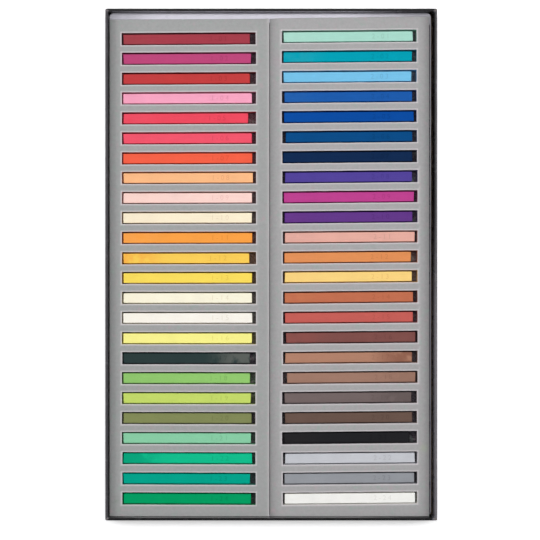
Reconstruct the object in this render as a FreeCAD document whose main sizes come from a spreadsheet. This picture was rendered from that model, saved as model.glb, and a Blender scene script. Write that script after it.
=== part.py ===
import FreeCAD, Part
import math
import os
import Sketcher

# Open pastel tray: a black paper-covered board tray, a thin plastic liner, two slotted foam inserts
# and forty-eight square pastel sticks. Millimetres, +Z up. The origin is the middle of the underside,
# +X goes to the right and +Y to the back edge of the tray as it lies open in front of its user.

# The tray is sized from what it holds: the sticks set the slots, the slots the foam inserts, the
# inserts the liner, and the liner the board tray round it.
SIZES = (
    # pastel sticks
    ("stick_length", "93.0"),
    ("stick_section", "7.0"),
    ("stick_edge", "0.35"),
    # die-cut slots
    ("slot_end_play", "2.8"),
    ("stick_back_play", "1.0"),
    ("stick_front_play", "0.7"),
    ("stick_recess", "0.9"),
    ("left_slot_turn", "0.1"),
    ("right_slot_turn", "0.55"),
    # foam inserts: the foam left round and between the slots
    ("left_row_gap", "5.6"),
    ("left_front_bar", "8.3"),
    ("left_back_bar", "8.8"),
    ("left_back_rise", "0.6"),
    ("left_outer_margin", "8.7"),
    ("left_seam_margin", "9.7"),
    ("right_row_gap", "5.64"),
    ("right_front_bar", "8.65"),
    ("right_back_bar", "8.43"),
    ("right_back_rise", "1.3"),
    ("right_seam_margin", "9.4"),
    ("right_outer_margin", "8.9"),
    ("foam_seam_gap", "0.3"),
    ("foam_pad_thickness", "2.4"),
    ("pad_corner_ease", "1.1"),
    ("lap_thickness", "1.2"),
    ("lap_headroom", "0.3"),
    ("back_lap", "3.7"),
    ("left_outer_lap", "1.8"),
    ("right_outer_lap", "0.7"),
    ("foam_front_clearance", "0.7"),
    ("foam_side_clearance", "0.4"),
    ("foam_back_clearance", "0.7"),
    # plastic liner
    ("liner_sheet", "0.5"),
    ("liner_lean", "1.0"),
    ("liner_corner_radius", "3.4"),
    ("ledge_margin", "2.1"),
    ("liner_near_gap", "0.3"),
    ("liner_right_gap", "1.8"),
    ("liner_back_gap", "0.7"),
    ("seat_clearance", "0.1"),
    # tray board and its covering
    ("rim_above_foam", "5.9"),
    ("board_thickness", "1.6"),
    ("wrap_thickness", "0.2"),
    ("wrap_corner_radius", "1.0"),
    ("rim_round", "0.6"),
    ("wrap_turn_under", "12.0"),
    ("mitre_width", "0.25"),
    ("mitre_depth", "1.2"),
    ("stay_thickness", "0.15"),
    ("stay_leg", "12.0"),
    ("base_paper_thickness", "0.2"),
    ("base_paper_gap", "0.5"),
    ("floor_paper_thickness", "0.2"),
    ("floor_paper_gap", "0.5"),
)

ROWS = 24

# Straight-sided sketches are drawn rough, and their dimensions then give them their real size.
START_SHARE = 1.0
SQUARE_SHARES = [(-1, -1), (1, -1), (1, 1), (-1, 1)]

LEFT_NAMES = (
    "carmine", "raspberry", "red", "light_pink", "coral_red", "rose_red", "vermilion", "peach",
    "pale_pink", "cream_peach", "orange", "yellow_orange", "yellow", "ivory", "off_white", "lemon",
    "dark_green", "leaf_green", "yellow_green", "olive", "mint", "emerald", "teal_green", "green",
)
RIGHT_NAMES = (
    "pale_mint", "turquoise", "sky_blue", "blue", "deep_blue", "prussian_blue", "navy", "blue_violet",
    "magenta", "purple", "salmon", "apricot", "maize", "burnt_orange", "brick_red", "maroon",
    "tan", "light_brown", "taupe", "brown", "black", "lavender_grey", "cool_grey", "white",
)

# How long each stick still is, back to front, as a share of a new one.
LEFT_LENGTH_SHARES = (
    0.972, 0.981, 0.972, 0.988, 0.959, 0.988, 0.990, 0.995, 0.988, 0.988, 0.990, 0.967,
    0.988, 0.988, 0.990, 0.988, 0.972, 0.973, 0.980, 0.986, 0.981, 0.988, 0.973, 0.981,
)
RIGHT_LENGTH_SHARES = (
    0.994, 0.987, 0.983, 0.980, 0.997, 0.973, 0.992, 0.976, 1.000, 0.982, 1.000, 0.975,
    0.976, 0.985, 0.982, 0.994, 0.975, 0.985, 0.975, 0.976, 0.961, 0.998, 0.996, 1.000,
)

# Where each stick lies along its slot, as the share of its free play that is left of it.
LEFT_PLACE_SHARES = (
    0.25, 0.29, 0.25, 0.34, 0.20, 0.34, 0.36, 0.40, 0.34, 0.34, 0.36, 0.23,
    0.34, 0.34, 0.36, 0.34, 0.25, 0.25, 0.28, 0.32, 0.29, 0.34, 0.25, 0.29,
)
RIGHT_PLACE_SHARES = (
    0.21, 0.17, 0.16, 0.30, 0.36, 0.42, 0.12, 0.35, 0.31, 0.31, 0.55, 0.22,
    0.31, 0.37, 0.40, 0.72, 0.36, 0.78, 0.27, 0.35, 0.18, 0.58, 0.43, 0.56,
)

document = FreeCAD.newDocument("pastel_tray")
sheet = document.addObject("Spreadsheet::Sheet", "sizes")
for row, (alias, number) in enumerate(SIZES, start=1):
    sheet.set("A%d" % row, alias)
    sheet.set("B%d" % row, number)
    sheet.setAlias("B%d" % row, alias)
document.recompute()

kept = []


def keep(piece, label):
    """Name a finished sub-part and list it for writing."""
    piece.Label = label
    kept.append(piece)
    return piece


def bind(thing, **expressions):
    """Tie properties of an object to the sizes; a double underscore stands for a dot."""
    for path, expression in expressions.items():
        thing.setExpression(path.replace("__", "."), expression)


def place(thing, x="0", y="0", z="0", turn=None):
    """Tie an object's place, and its turn about +Z in degrees, to the sizes."""
    if turn is not None:
        bind(thing, Placement__Rotation__Angle=turn)
    bind(thing, Placement__Base__x=x, Placement__Base__y=y, Placement__Base__z=z)


def body_named(name):
    return document.addObject("PartDesign::Body", name)


def origin_feature(body, role):
    for feature in body.Origin.OriginFeatures:
        if feature.Role == role:
            return feature
    raise ValueError("no origin feature " + role)


def sketch_on(body, name, plane="XY_Plane", x="0", y="0", z="0", turn=None):
    """A sketch on one of the body's own origin planes, moved and turned in that plane."""
    sketch = body.newObject("Sketcher::SketchObject", name)
    sketch.AttachmentSupport = [(origin_feature(body, plane), "")]
    sketch.MapMode = "FlatFace"
    if turn is not None:
        bind(sketch, AttachmentOffset__Rotation__Angle=turn)
    bind(sketch, AttachmentOffset__Base__x=x, AttachmentOffset__Base__y=y, AttachmentOffset__Base__z=z)
    return sketch


def dimension(sketch, kind, name, expression, *points):
    """Add one named driving dimension between two sketch points and tie it to the sizes."""
    number = sketch.addConstraint(Sketcher.Constraint(kind, *points, START_SHARE))
    sketch.renameConstraint(number, name)
    sketch.setExpression("Constraints." + name, expression)


def draw_loop(sketch, corners):
    """Draw straight edges through rough corners, joined end to end, and return their numbers."""
    edges = []
    for here, there in zip(corners, corners[1:] + corners[:1]):
        line = Part.LineSegment(FreeCAD.Vector(*here, 0), FreeCAD.Vector(*there, 0))
        edges.append(sketch.addGeometry(line, False))
    for here, there in zip(edges, edges[1:] + edges[:1]):
        sketch.addConstraint(Sketcher.Constraint("Coincident", here, 2, there, 1))
    return edges


def rectangle(sketch, width, length):
    """A rectangle centred on the sketch's origin."""
    bottom, right, top, left = draw_loop(sketch, SQUARE_SHARES)
    sketch.addConstraint([
        Sketcher.Constraint("Horizontal", bottom),
        Sketcher.Constraint("Horizontal", top),
        Sketcher.Constraint("Vertical", right),
        Sketcher.Constraint("Vertical", left),
        Sketcher.Constraint("Symmetric", bottom, 1, top, 1, -1, 1),
    ])
    dimension(sketch, "DistanceX", "width", width, bottom, 1, bottom, 2)
    dimension(sketch, "DistanceY", "length", length, right, 1, right, 2)


def corner_loop(sketch, corners):
    """A four-sided outline whose corners are pairs of expressions, right of and above the origin."""
    edges = draw_loop(sketch, SQUARE_SHARES)
    for index, (edge, (across, along)) in enumerate(zip(edges, corners)):
        dimension(sketch, "DistanceX", "across_%d" % index, across, -1, 1, edge, 1)
        dimension(sketch, "DistanceY", "along_%d" % index, along, -1, 1, edge, 1)


def pad(body, sketch, length, midplane=False):
    """Pad a sketch away from its plane, or evenly to both sides."""
    feature = body.newObject("PartDesign::Pad", sketch.Name + "_pad")
    feature.Profile = sketch
    feature.Midplane = midplane
    bind(feature, Length=length)
    document.recompute()
    return feature


def pocket_up(body, sketch, depth):
    """Cut a sketch upwards from its plane, and make sure that it took something away."""
    before = body.Shape.Volume
    feature = body.newObject("PartDesign::Pocket", sketch.Name + "_pocket")
    feature.Profile = sketch
    feature.Reversed = True
    bind(feature, Length=depth)
    document.recompute()
    if not body.Shape.Volume < before:
        raise ValueError(sketch.Name + " cuts nothing")
    return feature


def edges_where(feature, test):
    """The names of a feature's edges that pass a test."""
    return ["Edge%d" % index for index, edge in enumerate(feature.Shape.Edges, start=1) if test(edge)]


def is_upright(edge):
    return edge.BoundBox.XLength + edge.BoundBox.YLength < edge.BoundBox.ZLength


def is_above_middle(feature):
    """A test for the edges that lie wholly in the upper half of a feature."""
    box = feature.Shape.BoundBox
    return lambda edge: edge.BoundBox.ZMin > box.Center.z


def fillet(body, feature, test, radius):
    """Round the edges of a feature that pass a test."""
    rounded = body.newObject("PartDesign::Fillet", feature.Name + "_round")
    rounded.Base = (feature, edges_where(feature, test))
    bind(rounded, Radius=radius)
    document.recompute()
    return rounded


def block(name, width, length, height, z="0", corner=None):
    """A centred block, its upright corners rounded where asked."""
    body = body_named(name)
    outline = sketch_on(body, name + "_outline", z=z)
    rectangle(outline, width, length)
    plain = pad(body, outline, height)
    if corner is not None:
        fillet(body, plain, is_upright, corner)
    return body


def boolean(kind, name, base, tool):
    """A Part boolean of two objects."""
    result = document.addObject("Part::" + kind, name)
    result.Base = base
    result.Tool = tool
    document.recompute()
    return result


def grouped(name, pieces):
    """Several objects as one."""
    group = document.addObject("Part::Compound", name)
    group.Links = pieces
    document.recompute()
    return group


def rounded_rectangle(sketch, width, length, radius):
    """A rectangle with round corners, centred on the sketch's origin."""
    corner = sketch.evalExpression(radius)
    side_x = sketch.evalExpression(width) / 2
    side_y = sketch.evalExpression(length) / 2
    middle_x = side_x - corner
    middle_y = side_y - corner
    lines = []
    for start, end in (((-middle_x, -side_y), (middle_x, -side_y)),
                       ((side_x, -middle_y), (side_x, middle_y)),
                       ((middle_x, side_y), (-middle_x, side_y)),
                       ((-side_x, middle_y), (-side_x, -middle_y))):
        line = Part.LineSegment(FreeCAD.Vector(*start, 0), FreeCAD.Vector(*end, 0))
        lines.append(sketch.addGeometry(line, False))
    arcs = []
    for quarter, (across, along) in enumerate(((1, -1), (1, 1), (-1, 1), (-1, -1))):
        middle = FreeCAD.Vector(across * middle_x, along * middle_y, 0)
        circle = Part.Circle(middle, FreeCAD.Vector(0, 0, 1), corner)
        begin = math.radians(90 * quarter - 90)
        arcs.append(sketch.addGeometry(Part.ArcOfCircle(circle, begin, begin + math.pi / 2), False))
    for line, arc, following in zip(lines, arcs, lines[1:] + lines[:1]):
        sketch.addConstraint(Sketcher.Constraint("Tangent", line, 2, arc, 1))
        sketch.addConstraint(Sketcher.Constraint("Tangent", arc, 2, following, 1))
    bottom, right, top, left = lines
    sketch.addConstraint([
        Sketcher.Constraint("Horizontal", bottom),
        Sketcher.Constraint("Horizontal", top),
        Sketcher.Constraint("Vertical", right),
        Sketcher.Constraint("Vertical", left),
        Sketcher.Constraint("Symmetric", arcs[0], 3, arcs[2], 3, -1, 1),
    ])
    for arc in arcs[1:]:
        sketch.addConstraint(Sketcher.Constraint("Equal", arcs[0], arc))
    dimension(sketch, "DistanceX", "width", width, left, 1, right, 1)
    dimension(sketch, "DistanceY", "length", length, bottom, 1, top, 1)
    dimension(sketch, "Radius", "radius", radius, arcs[0])


class Panel:
    """One foam insert: how large it is, where it lies and how its slots were cut."""

    def __init__(self, side, left_margin, right_margin, left_lap, right_lap):
        self.side = side
        self.left_lap = left_lap
        self.width = f"(sizes.{left_margin} + {SLOT_LENGTH} + sizes.{right_margin})"
        self.seated_right = f"({self.width} - {right_lap})"
        self.seated_width = f"({self.seated_right} - {left_lap})"
        self.slot_x = f"(sizes.{left_margin} + {SLOT_LENGTH} / 2)"
        self.slot_turn = f"sizes.{side}_slot_turn"
        self.pitch = f"({SLOT_WIDTH} + sizes.{side}_row_gap)"
        self.front_row = f"(sizes.{side}_front_bar + {SLOT_WIDTH} / 2)"
        self.middle = f"({self.front_row} + {self.pitch} * {(ROWS - 1) / 2})"
        self.back_slot_edge = f"(sizes.{side}_front_bar + {SLOT_WIDTH} + {self.pitch} * {ROWS - 1})"
        self.left_length = f"({self.back_slot_edge} + sizes.{side}_back_bar)"
        self.right_length = f"({self.left_length} + sizes.{side}_back_rise)"
        self.left = None

    def seated_outline(self, body, name):
        """The outline of the foam that sits inside the liner's hollow."""
        outline = sketch_on(body, name)
        corner_loop(outline, [(self.left_lap, FRONT_RELIEF), (self.seated_right, FRONT_RELIEF),
                              (self.seated_right, FOAM_SEATED_LENGTH), (self.left_lap, FOAM_SEATED_LENGTH)])
        return outline

    def sheet(self):
        """The slotted sheet, its upper layer lapping over the liner's lip and ledge."""
        body = body_named(self.side + "_sheet")
        pad(body, self.seated_outline(body, self.side + "_seat"), SHEET_THICKNESS)
        upper = sketch_on(body, self.side + "_upper", z=f"{SHEET_THICKNESS} - sizes.lap_thickness")
        corner_loop(upper, [("0", "0"), (self.width, "0"), (self.width, self.right_length),
                            ("0", self.left_length)])
        pad(body, upper, "sizes.lap_thickness")
        slot = sketch_on(body, self.side + "_slot", x=self.slot_x, y=self.front_row, turn=self.slot_turn)
        rectangle(slot, SLOT_LENGTH, SLOT_WIDTH)
        cut = pocket_up(body, slot, f"2 * {SHEET_THICKNESS}")
        one_slot = body.Shape.Volume
        rows = body.newObject("PartDesign::LinearPattern", self.side + "_rows")
        rows.Originals = [cut]
        rows.Direction = (origin_feature(body, "Y_Axis"), [""])
        rows.Occurrences = ROWS
        bind(rows, Length=f"{self.pitch} * {ROWS - 1}")
        body.Tip = rows
        document.recompute()
        if not body.Shape.Volume < one_slot:
            raise ValueError("the slots of the %s sheet are missing" % self.side)
        place(body, self.left, FOAM_FRONT, SHEET_BOTTOM)
        return grouped(self.side + "_halves", [self.half(body, name) for name in ("front", "back")])

    def half(self, whole, name):
        """The front or back half of the sheet, parted along the middle of its middle bar."""
        zone = body_named(self.side + "_zone_" + name)
        outline = sketch_on(zone, zone.Name + "_outline")
        near, far = {"front": ("0", self.middle), "back": (self.middle, self.right_length)}[name]
        corner_loop(outline, [("0", near), (self.width, near), (self.width, far), ("0", far)])
        pad(zone, outline, SHEET_THICKNESS)
        place(zone, self.left, FOAM_FRONT, SHEET_BOTTOM)
        return boolean("Common", self.side + "_half_" + name, whole, zone)

    def pad(self):
        """The plain pad glued under the slotted sheet."""
        body = body_named(self.side + "_pad")
        plain = pad(body, self.seated_outline(body, self.side + "_pad_outline"), "sizes.foam_pad_thickness")
        fillet(body, plain, is_upright, PAD_CORNER)
        place(body, self.left, FOAM_FRONT, PAD_BOTTOM)
        return body

    def stick(self, row, name, length_share, place_share):
        """One stick, lying in its slot on the pad, a little nearer the slot's front edge."""
        body = body_named(name)
        section = sketch_on(body, name + "_section", "YZ_Plane")
        rectangle(section, "sizes.stick_section", "sizes.stick_section")
        length = f"(sizes.stick_length * {length_share})"
        bar = pad(body, section, length, midplane=True)
        eased = body.newObject("PartDesign::Chamfer", name + "_edges")
        eased.Base = (bar, edges_where(bar, lambda edge: True))
        bind(eased, Size="sizes.stick_edge")
        along = f"(({SLOT_LENGTH} - {length}) * ({place_share} - 0.5))"
        aside = "((sizes.stick_front_play - sizes.stick_back_play) / 2)"
        turn = f"({self.slot_turn} * 1 deg)"
        middle_x = f"{self.left} + {self.slot_x}"
        middle_y = f"{FOAM_FRONT} + {self.front_row} + {self.pitch} * {ROWS - 1 - row}"
        place(body, f"{middle_x} + {along} * cos({turn}) - {aside} * sin({turn})",
              f"{middle_y} + {along} * sin({turn}) + {aside} * cos({turn})",
              f"{STICK_BOTTOM} + sizes.stick_section / 2", self.slot_turn)
        return body


# Sizes that several pieces share, worked out from the sheet: first the slots and the two inserts.
SLOT_LENGTH = "(sizes.stick_length + sizes.slot_end_play)"
SLOT_WIDTH = "(sizes.stick_section + sizes.stick_back_play + sizes.stick_front_play)"
SHEET_THICKNESS = "(sizes.seat_clearance + sizes.stick_section + sizes.stick_recess)"
left_panel = Panel("left", "left_outer_margin", "left_seam_margin", "sizes.left_outer_lap", "0")
right_panel = Panel("right", "right_seam_margin", "right_outer_margin", "0", "sizes.right_outer_lap")
SEATED_WIDTH = f"({left_panel.seated_width} + sizes.foam_seam_gap + {right_panel.seated_width})"
FOAM_LENGTH = f"max({left_panel.right_length}; {right_panel.right_length})"
FOAM_SEATED_LENGTH = f"(min({left_panel.left_length}; {right_panel.left_length}) - sizes.back_lap)"

# Then the liner round the inserts, and the tray round the liner.
LINER_WALL = "(sizes.liner_sheet + sizes.liner_lean)"
LINER_WIDTH = f"({SEATED_WIDTH} + 2 * ({LINER_WALL} + sizes.foam_side_clearance))"
LINER_LENGTH = f"({FOAM_LENGTH} + sizes.ledge_margin)"
CAVITY_LENGTH = f"({FOAM_SEATED_LENGTH} + sizes.foam_back_clearance + {LINER_WALL})"
FRONT_RELIEF = f"({LINER_WALL} + sizes.foam_front_clearance)"
PAD_CORNER = f"sizes.liner_corner_radius - {LINER_WALL} + sizes.pad_corner_ease"
INSIDE_WIDTH = f"({LINER_WIDTH} + sizes.liner_near_gap + sizes.liner_right_gap)"
INSIDE_LENGTH = f"({LINER_LENGTH} + sizes.liner_near_gap + sizes.liner_back_gap)"
WALL = "(sizes.board_thickness + 2 * sizes.wrap_thickness)"
OUTER_WIDTH = f"({INSIDE_WIDTH} + 2 * {WALL})"
OUTER_LENGTH = f"({INSIDE_LENGTH} + 2 * {WALL})"

# Levels, from the underside up.
FLOOR = "(sizes.wrap_thickness + sizes.board_thickness)"
LINER_BOTTOM = f"({FLOOR} + sizes.floor_paper_thickness + sizes.seat_clearance)"
PAD_BOTTOM = f"({LINER_BOTTOM} + sizes.liner_sheet + sizes.seat_clearance)"
SHEET_BOTTOM = f"({PAD_BOTTOM} + sizes.foam_pad_thickness)"
STICK_BOTTOM = f"({SHEET_BOTTOM} + sizes.seat_clearance)"
SHEET_TOP = f"({SHEET_BOTTOM} + {SHEET_THICKNESS})"
LINER_HEIGHT = f"({SHEET_TOP} - sizes.lap_thickness - sizes.lap_headroom - {LINER_BOTTOM})"
OUTER_HEIGHT = f"({SHEET_TOP} + sizes.rim_above_foam)"

# Places: the inserts and the liner lie against the tray's front and left walls.
LINER_MIDDLE_X = "((sizes.liner_near_gap - sizes.liner_right_gap) / 2)"
LINER_MIDDLE_Y = "((sizes.liner_near_gap - sizes.liner_back_gap) / 2)"
FOAM_FRONT = f"(sizes.liner_near_gap - {INSIDE_LENGTH} / 2)"
SEATED_LEFT = f"(sizes.liner_near_gap + {LINER_WALL} + sizes.foam_side_clearance - {INSIDE_WIDTH} / 2)"
left_panel.left = f"({SEATED_LEFT} - sizes.left_outer_lap)"
right_panel.left = f"({left_panel.left} + {left_panel.width} + sizes.foam_seam_gap)"

BOARD_WIDTH = f"({OUTER_WIDTH} - 2 * sizes.wrap_thickness)"
BOARD_LENGTH = f"({OUTER_LENGTH} - 2 * sizes.wrap_thickness)"
BOARD_HEIGHT = f"({OUTER_HEIGHT} - 2 * sizes.wrap_thickness)"
BOARD_CORNER = "(sizes.wrap_corner_radius - sizes.wrap_thickness)"


def board():
    """The whole board tray, base and walls, its rim rounded: what the covering is folded round."""
    body = block("board", BOARD_WIDTH, BOARD_LENGTH, BOARD_HEIGHT, "sizes.wrap_thickness", BOARD_CORNER)
    hollow = sketch_on(body, "board_hollow", z=FLOOR)
    rectangle(hollow, f"{INSIDE_WIDTH} + 2 * sizes.wrap_thickness",
              f"{INSIDE_LENGTH} + 2 * sizes.wrap_thickness")
    opened = pocket_up(body, hollow, OUTER_HEIGHT)
    fillet(body, opened, is_above_middle(opened), "sizes.rim_round - sizes.wrap_thickness")
    return body


def base_board(seated_board):
    """The flat base, which the walls stand on."""
    zone = block("base_board_zone", BOARD_WIDTH, BOARD_LENGTH, "sizes.board_thickness",
                 "sizes.wrap_thickness")
    return boolean("Common", "base_board", seated_board, zone)


def wall_boards(seated_board):
    """The four walls standing on the base, mitred where they meet."""
    walls = []
    for name, length, across, along, turn in (("front", BOARD_WIDTH, -1, -1, "0"),
                                              ("right", BOARD_LENGTH, 1, -1, "90"),
                                              ("back", BOARD_WIDTH, 1, 1, "180"),
                                              ("left", BOARD_LENGTH, -1, 1, "270")):
        zone = body_named("wall_zone_" + name)
        outline = sketch_on(zone, zone.Name + "_outline", z=FLOOR)
        reach = "2 * sizes.board_thickness"
        corner_loop(outline, [("0", "0"), (length, "0"), (f"{length} - {reach}", reach), (reach, reach)])
        pad(zone, outline, OUTER_HEIGHT)
        place(zone, f"{across} * {BOARD_WIDTH} / 2", f"{along} * {BOARD_LENGTH} / 2", turn=turn)
        walls.append(boolean("Common", "wall_" + name, seated_board, zone))
    return grouped("wall_boards", walls)


def corner_stays():
    """Four strips of gummed tape, bent round the board's corners and pressed flush into it."""
    height = f"{BOARD_HEIGHT} - sizes.rim_round"
    outside = block("stay_outside", BOARD_WIDTH, BOARD_LENGTH, height, "sizes.wrap_thickness", BOARD_CORNER)
    inside = block("stay_inside", f"{BOARD_WIDTH} - 2 * sizes.stay_thickness",
                   f"{BOARD_LENGTH} - 2 * sizes.stay_thickness", height, "sizes.wrap_thickness",
                   f"{BOARD_CORNER} - sizes.stay_thickness")
    skin = boolean("Cut", "stay_skin", outside, inside)
    zones = []
    for name, across, along in (("back_right", 1, 1), ("back_left", -1, 1),
                                ("front_left", -1, -1), ("front_right", 1, -1)):
        zone = block("stay_zone_" + name, "2 * sizes.stay_leg", "2 * sizes.stay_leg", OUTER_HEIGHT)
        place(zone, f"{across} * {BOARD_WIDTH} / 2", f"{along} * {BOARD_LENGTH} / 2")
        zones.append(zone)
    return boolean("Common", "stays", skin, grouped("stay_zones", zones))


def mitre_cuts():
    """Narrow slanting blocks where the covering's folded edges meet at the rim's corners."""
    cuts = []
    for name, across, along in (("back_right", 1, 1), ("back_left", -1, 1),
                                ("front_left", -1, -1), ("front_right", 1, -1)):
        body = body_named("mitre_" + name)
        outline = sketch_on(body, body.Name + "_outline", z=f"{OUTER_HEIGHT} - sizes.mitre_depth",
                            turn="%d" % (45 * across * along))
        rectangle(outline, f"4 * {WALL}", "sizes.mitre_width")
        pad(body, outline, "2 * sizes.mitre_depth")
        place(body, f"{across} * ({OUTER_WIDTH} - {WALL}) / 2", f"{along} * ({OUTER_LENGTH} - {WALL}) / 2")
        cuts.append(body)
    return grouped("mitre_cuts", cuts)


def cover_wrap(board_body):
    """The covering: up the outside, over the rim, down the inside and a margin under the base."""
    body = block("wrap", OUTER_WIDTH, OUTER_LENGTH, OUTER_HEIGHT, corner="sizes.wrap_corner_radius")
    inside = sketch_on(body, "wrap_inside", z="sizes.wrap_thickness")
    rectangle(inside, INSIDE_WIDTH, INSIDE_LENGTH)
    opened = pocket_up(body, inside, OUTER_HEIGHT)
    fillet(body, opened, is_above_middle(opened), "sizes.rim_round")
    window = sketch_on(body, "wrap_window")
    rectangle(window, f"{OUTER_WIDTH} - 2 * sizes.wrap_turn_under",
              f"{OUTER_LENGTH} - 2 * sizes.wrap_turn_under")
    pocket_up(body, window, "2 * sizes.wrap_thickness")
    hollow = boolean("Cut", "wrap_hollow", body, board_body)
    return boolean("Cut", "wrap_mitred", hollow, mitre_cuts())


def base_paper():
    """The plain paper that closes the underside between the covering's turned margins."""
    margin = "2 * (sizes.wrap_turn_under + sizes.base_paper_gap)"
    return block("base", f"{OUTER_WIDTH} - {margin}", f"{OUTER_LENGTH} - {margin}",
                 "sizes.base_paper_thickness")


def floor_paper():
    """The plain paper glued over the board on the tray's floor."""
    return block("floor", f"{INSIDE_WIDTH} - 2 * sizes.floor_paper_gap",
                 f"{INSIDE_LENGTH} - 2 * sizes.floor_paper_gap", "sizes.floor_paper_thickness", FLOOR)


def liner_section(body, name, height, inset):
    """One level of the liner's hollow, an inset smaller all round than its lip."""
    section = sketch_on(body, name, y=f"({CAVITY_LENGTH} - {LINER_LENGTH}) / 2", z=height)
    rounded_rectangle(section, f"{LINER_WIDTH} - 2 * ({inset})", f"{CAVITY_LENGTH} - 2 * ({inset})",
                      f"sizes.liner_corner_radius - ({inset})")
    return section


def liner_tray():
    """The thin formed plastic tray: walls leaning out to a flat lip, which is a wide ledge at the back."""
    body = body_named("liner")
    lip_level = f"({LINER_HEIGHT} - sizes.liner_sheet)"
    foot = liner_section(body, "liner_foot", "0", "sizes.liner_lean")
    shoulder = liner_section(body, "liner_shoulder", lip_level, "0")
    shell = body.newObject("PartDesign::AdditiveLoft", "liner_shell")
    shell.Profile = foot
    shell.Sections = [shoulder]
    shell.Ruled = True
    document.recompute()
    lip = sketch_on(body, "liner_lip", z=lip_level)
    rounded_rectangle(lip, LINER_WIDTH, LINER_LENGTH, "sizes.liner_corner_radius")
    pad(body, lip, "sizes.liner_sheet")
    before = body.Shape.Volume
    floor_inset = f"sizes.liner_lean * (1 - sizes.liner_sheet / {LINER_HEIGHT}) + sizes.liner_sheet"
    floor = liner_section(body, "liner_floor", "sizes.liner_sheet", floor_inset)
    mouth = liner_section(body, "liner_mouth", LINER_HEIGHT, "sizes.liner_sheet")
    hollow = body.newObject("PartDesign::SubtractiveLoft", "liner_hollow")
    hollow.Profile = floor
    hollow.Sections = [mouth]
    hollow.Ruled = True
    document.recompute()
    if not body.Shape.Volume < before:
        raise ValueError("the liner is not hollow")
    place(body, LINER_MIDDLE_X, LINER_MIDDLE_Y, LINER_BOTTOM)
    return body


board_body = board()
stays = keep(corner_stays(), "corner_stays")
seated_board = boolean("Cut", "board_with_stay_seats", board_body, stays)
keep(base_board(seated_board), "base_board")
keep(wall_boards(seated_board), "wall_boards")
keep(cover_wrap(board_body), "cover_wrap")
keep(base_paper(), "base_paper")
keep(floor_paper(), "floor_paper")
keep(liner_tray(), "liner_tray")

number = 0
for panel, names, length_shares, place_shares in (
        (left_panel, LEFT_NAMES, LEFT_LENGTH_SHARES, LEFT_PLACE_SHARES),
        (right_panel, RIGHT_NAMES, RIGHT_LENGTH_SHARES, RIGHT_PLACE_SHARES)):
    keep(panel.sheet(), panel.side + "_foam_sheet")
    keep(panel.pad(), panel.side + "_foam_pad")
    for row, (name, length_share, place_share) in enumerate(zip(names, length_shares, place_shares)):
        number += 1
        label = "pastel_%02d_%s" % (number, name)
        keep(panel.stick(row, "stick_%02d" % number, length_share, place_share), label)

document.recompute()
for thing in document.Objects:
    if "Invalid" in thing.State or "Error" in thing.State:
        raise ValueError("%s failed: %s" % (thing.Label, thing.State))
for piece in kept:
    if piece.Shape.isNull() or not piece.Shape.isValid() or not piece.Shape.Solids:
        raise ValueError(piece.Label + " has no sound shape")

os.makedirs("parts", exist_ok=True)
for piece in kept:
    piece.Shape.exportStep(os.path.join("parts", piece.Label + ".step"))
    print("%-28s %d solid(s), %.1f mm3" % (piece.Label, len(piece.Shape.Solids), piece.Shape.Volume))
print("%d sub-parts" % len(kept))
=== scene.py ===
import logging
import math
import random
from dataclasses import dataclass
from enum import Enum
from typing import Any, Callable, List, Mapping, Sequence, Tuple, Union

import bmesh
import bpy
from mathutils import Matrix, Vector, noise


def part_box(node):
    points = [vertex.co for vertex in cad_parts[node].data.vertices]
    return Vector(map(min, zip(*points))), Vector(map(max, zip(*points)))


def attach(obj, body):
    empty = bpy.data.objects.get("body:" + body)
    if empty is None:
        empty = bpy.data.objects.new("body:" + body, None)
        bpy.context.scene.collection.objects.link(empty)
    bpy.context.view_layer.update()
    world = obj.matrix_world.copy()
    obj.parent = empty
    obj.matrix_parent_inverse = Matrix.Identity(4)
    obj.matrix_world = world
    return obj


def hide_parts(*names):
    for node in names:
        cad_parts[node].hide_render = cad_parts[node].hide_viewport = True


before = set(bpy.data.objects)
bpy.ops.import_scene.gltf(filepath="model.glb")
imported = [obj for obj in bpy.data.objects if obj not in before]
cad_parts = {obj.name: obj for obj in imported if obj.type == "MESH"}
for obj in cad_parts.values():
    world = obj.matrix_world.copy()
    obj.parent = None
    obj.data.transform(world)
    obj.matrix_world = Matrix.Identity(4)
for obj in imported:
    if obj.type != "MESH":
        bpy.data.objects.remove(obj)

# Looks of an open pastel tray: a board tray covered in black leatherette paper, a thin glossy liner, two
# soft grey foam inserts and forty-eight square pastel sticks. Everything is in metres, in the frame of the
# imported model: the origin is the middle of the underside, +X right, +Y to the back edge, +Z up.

log = logging.getLogger("pastel_tray")

MM = 0.001
Colour = Tuple[float, float, float]
Number = Union["Wire", float]


def srgb(red: int, green: int, blue: int) -> Colour:
    """Turn a screen colour, 0 to 255, into the linear one that shaders take.

    Args:
        red: Red, 0 to 255.
        green: Green, 0 to 255.
        blue: Blue, 0 to 255.

    Returns:
        The linear colour.
    """
    def linear(level: int) -> float:
        """Take the screen's curve out of one level."""
        share = level / 255
        return share / 12.92 if share <= 0.04045 else ((share + 0.055) / 1.055) ** 2.4

    return linear(red), linear(green), linear(blue)


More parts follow.
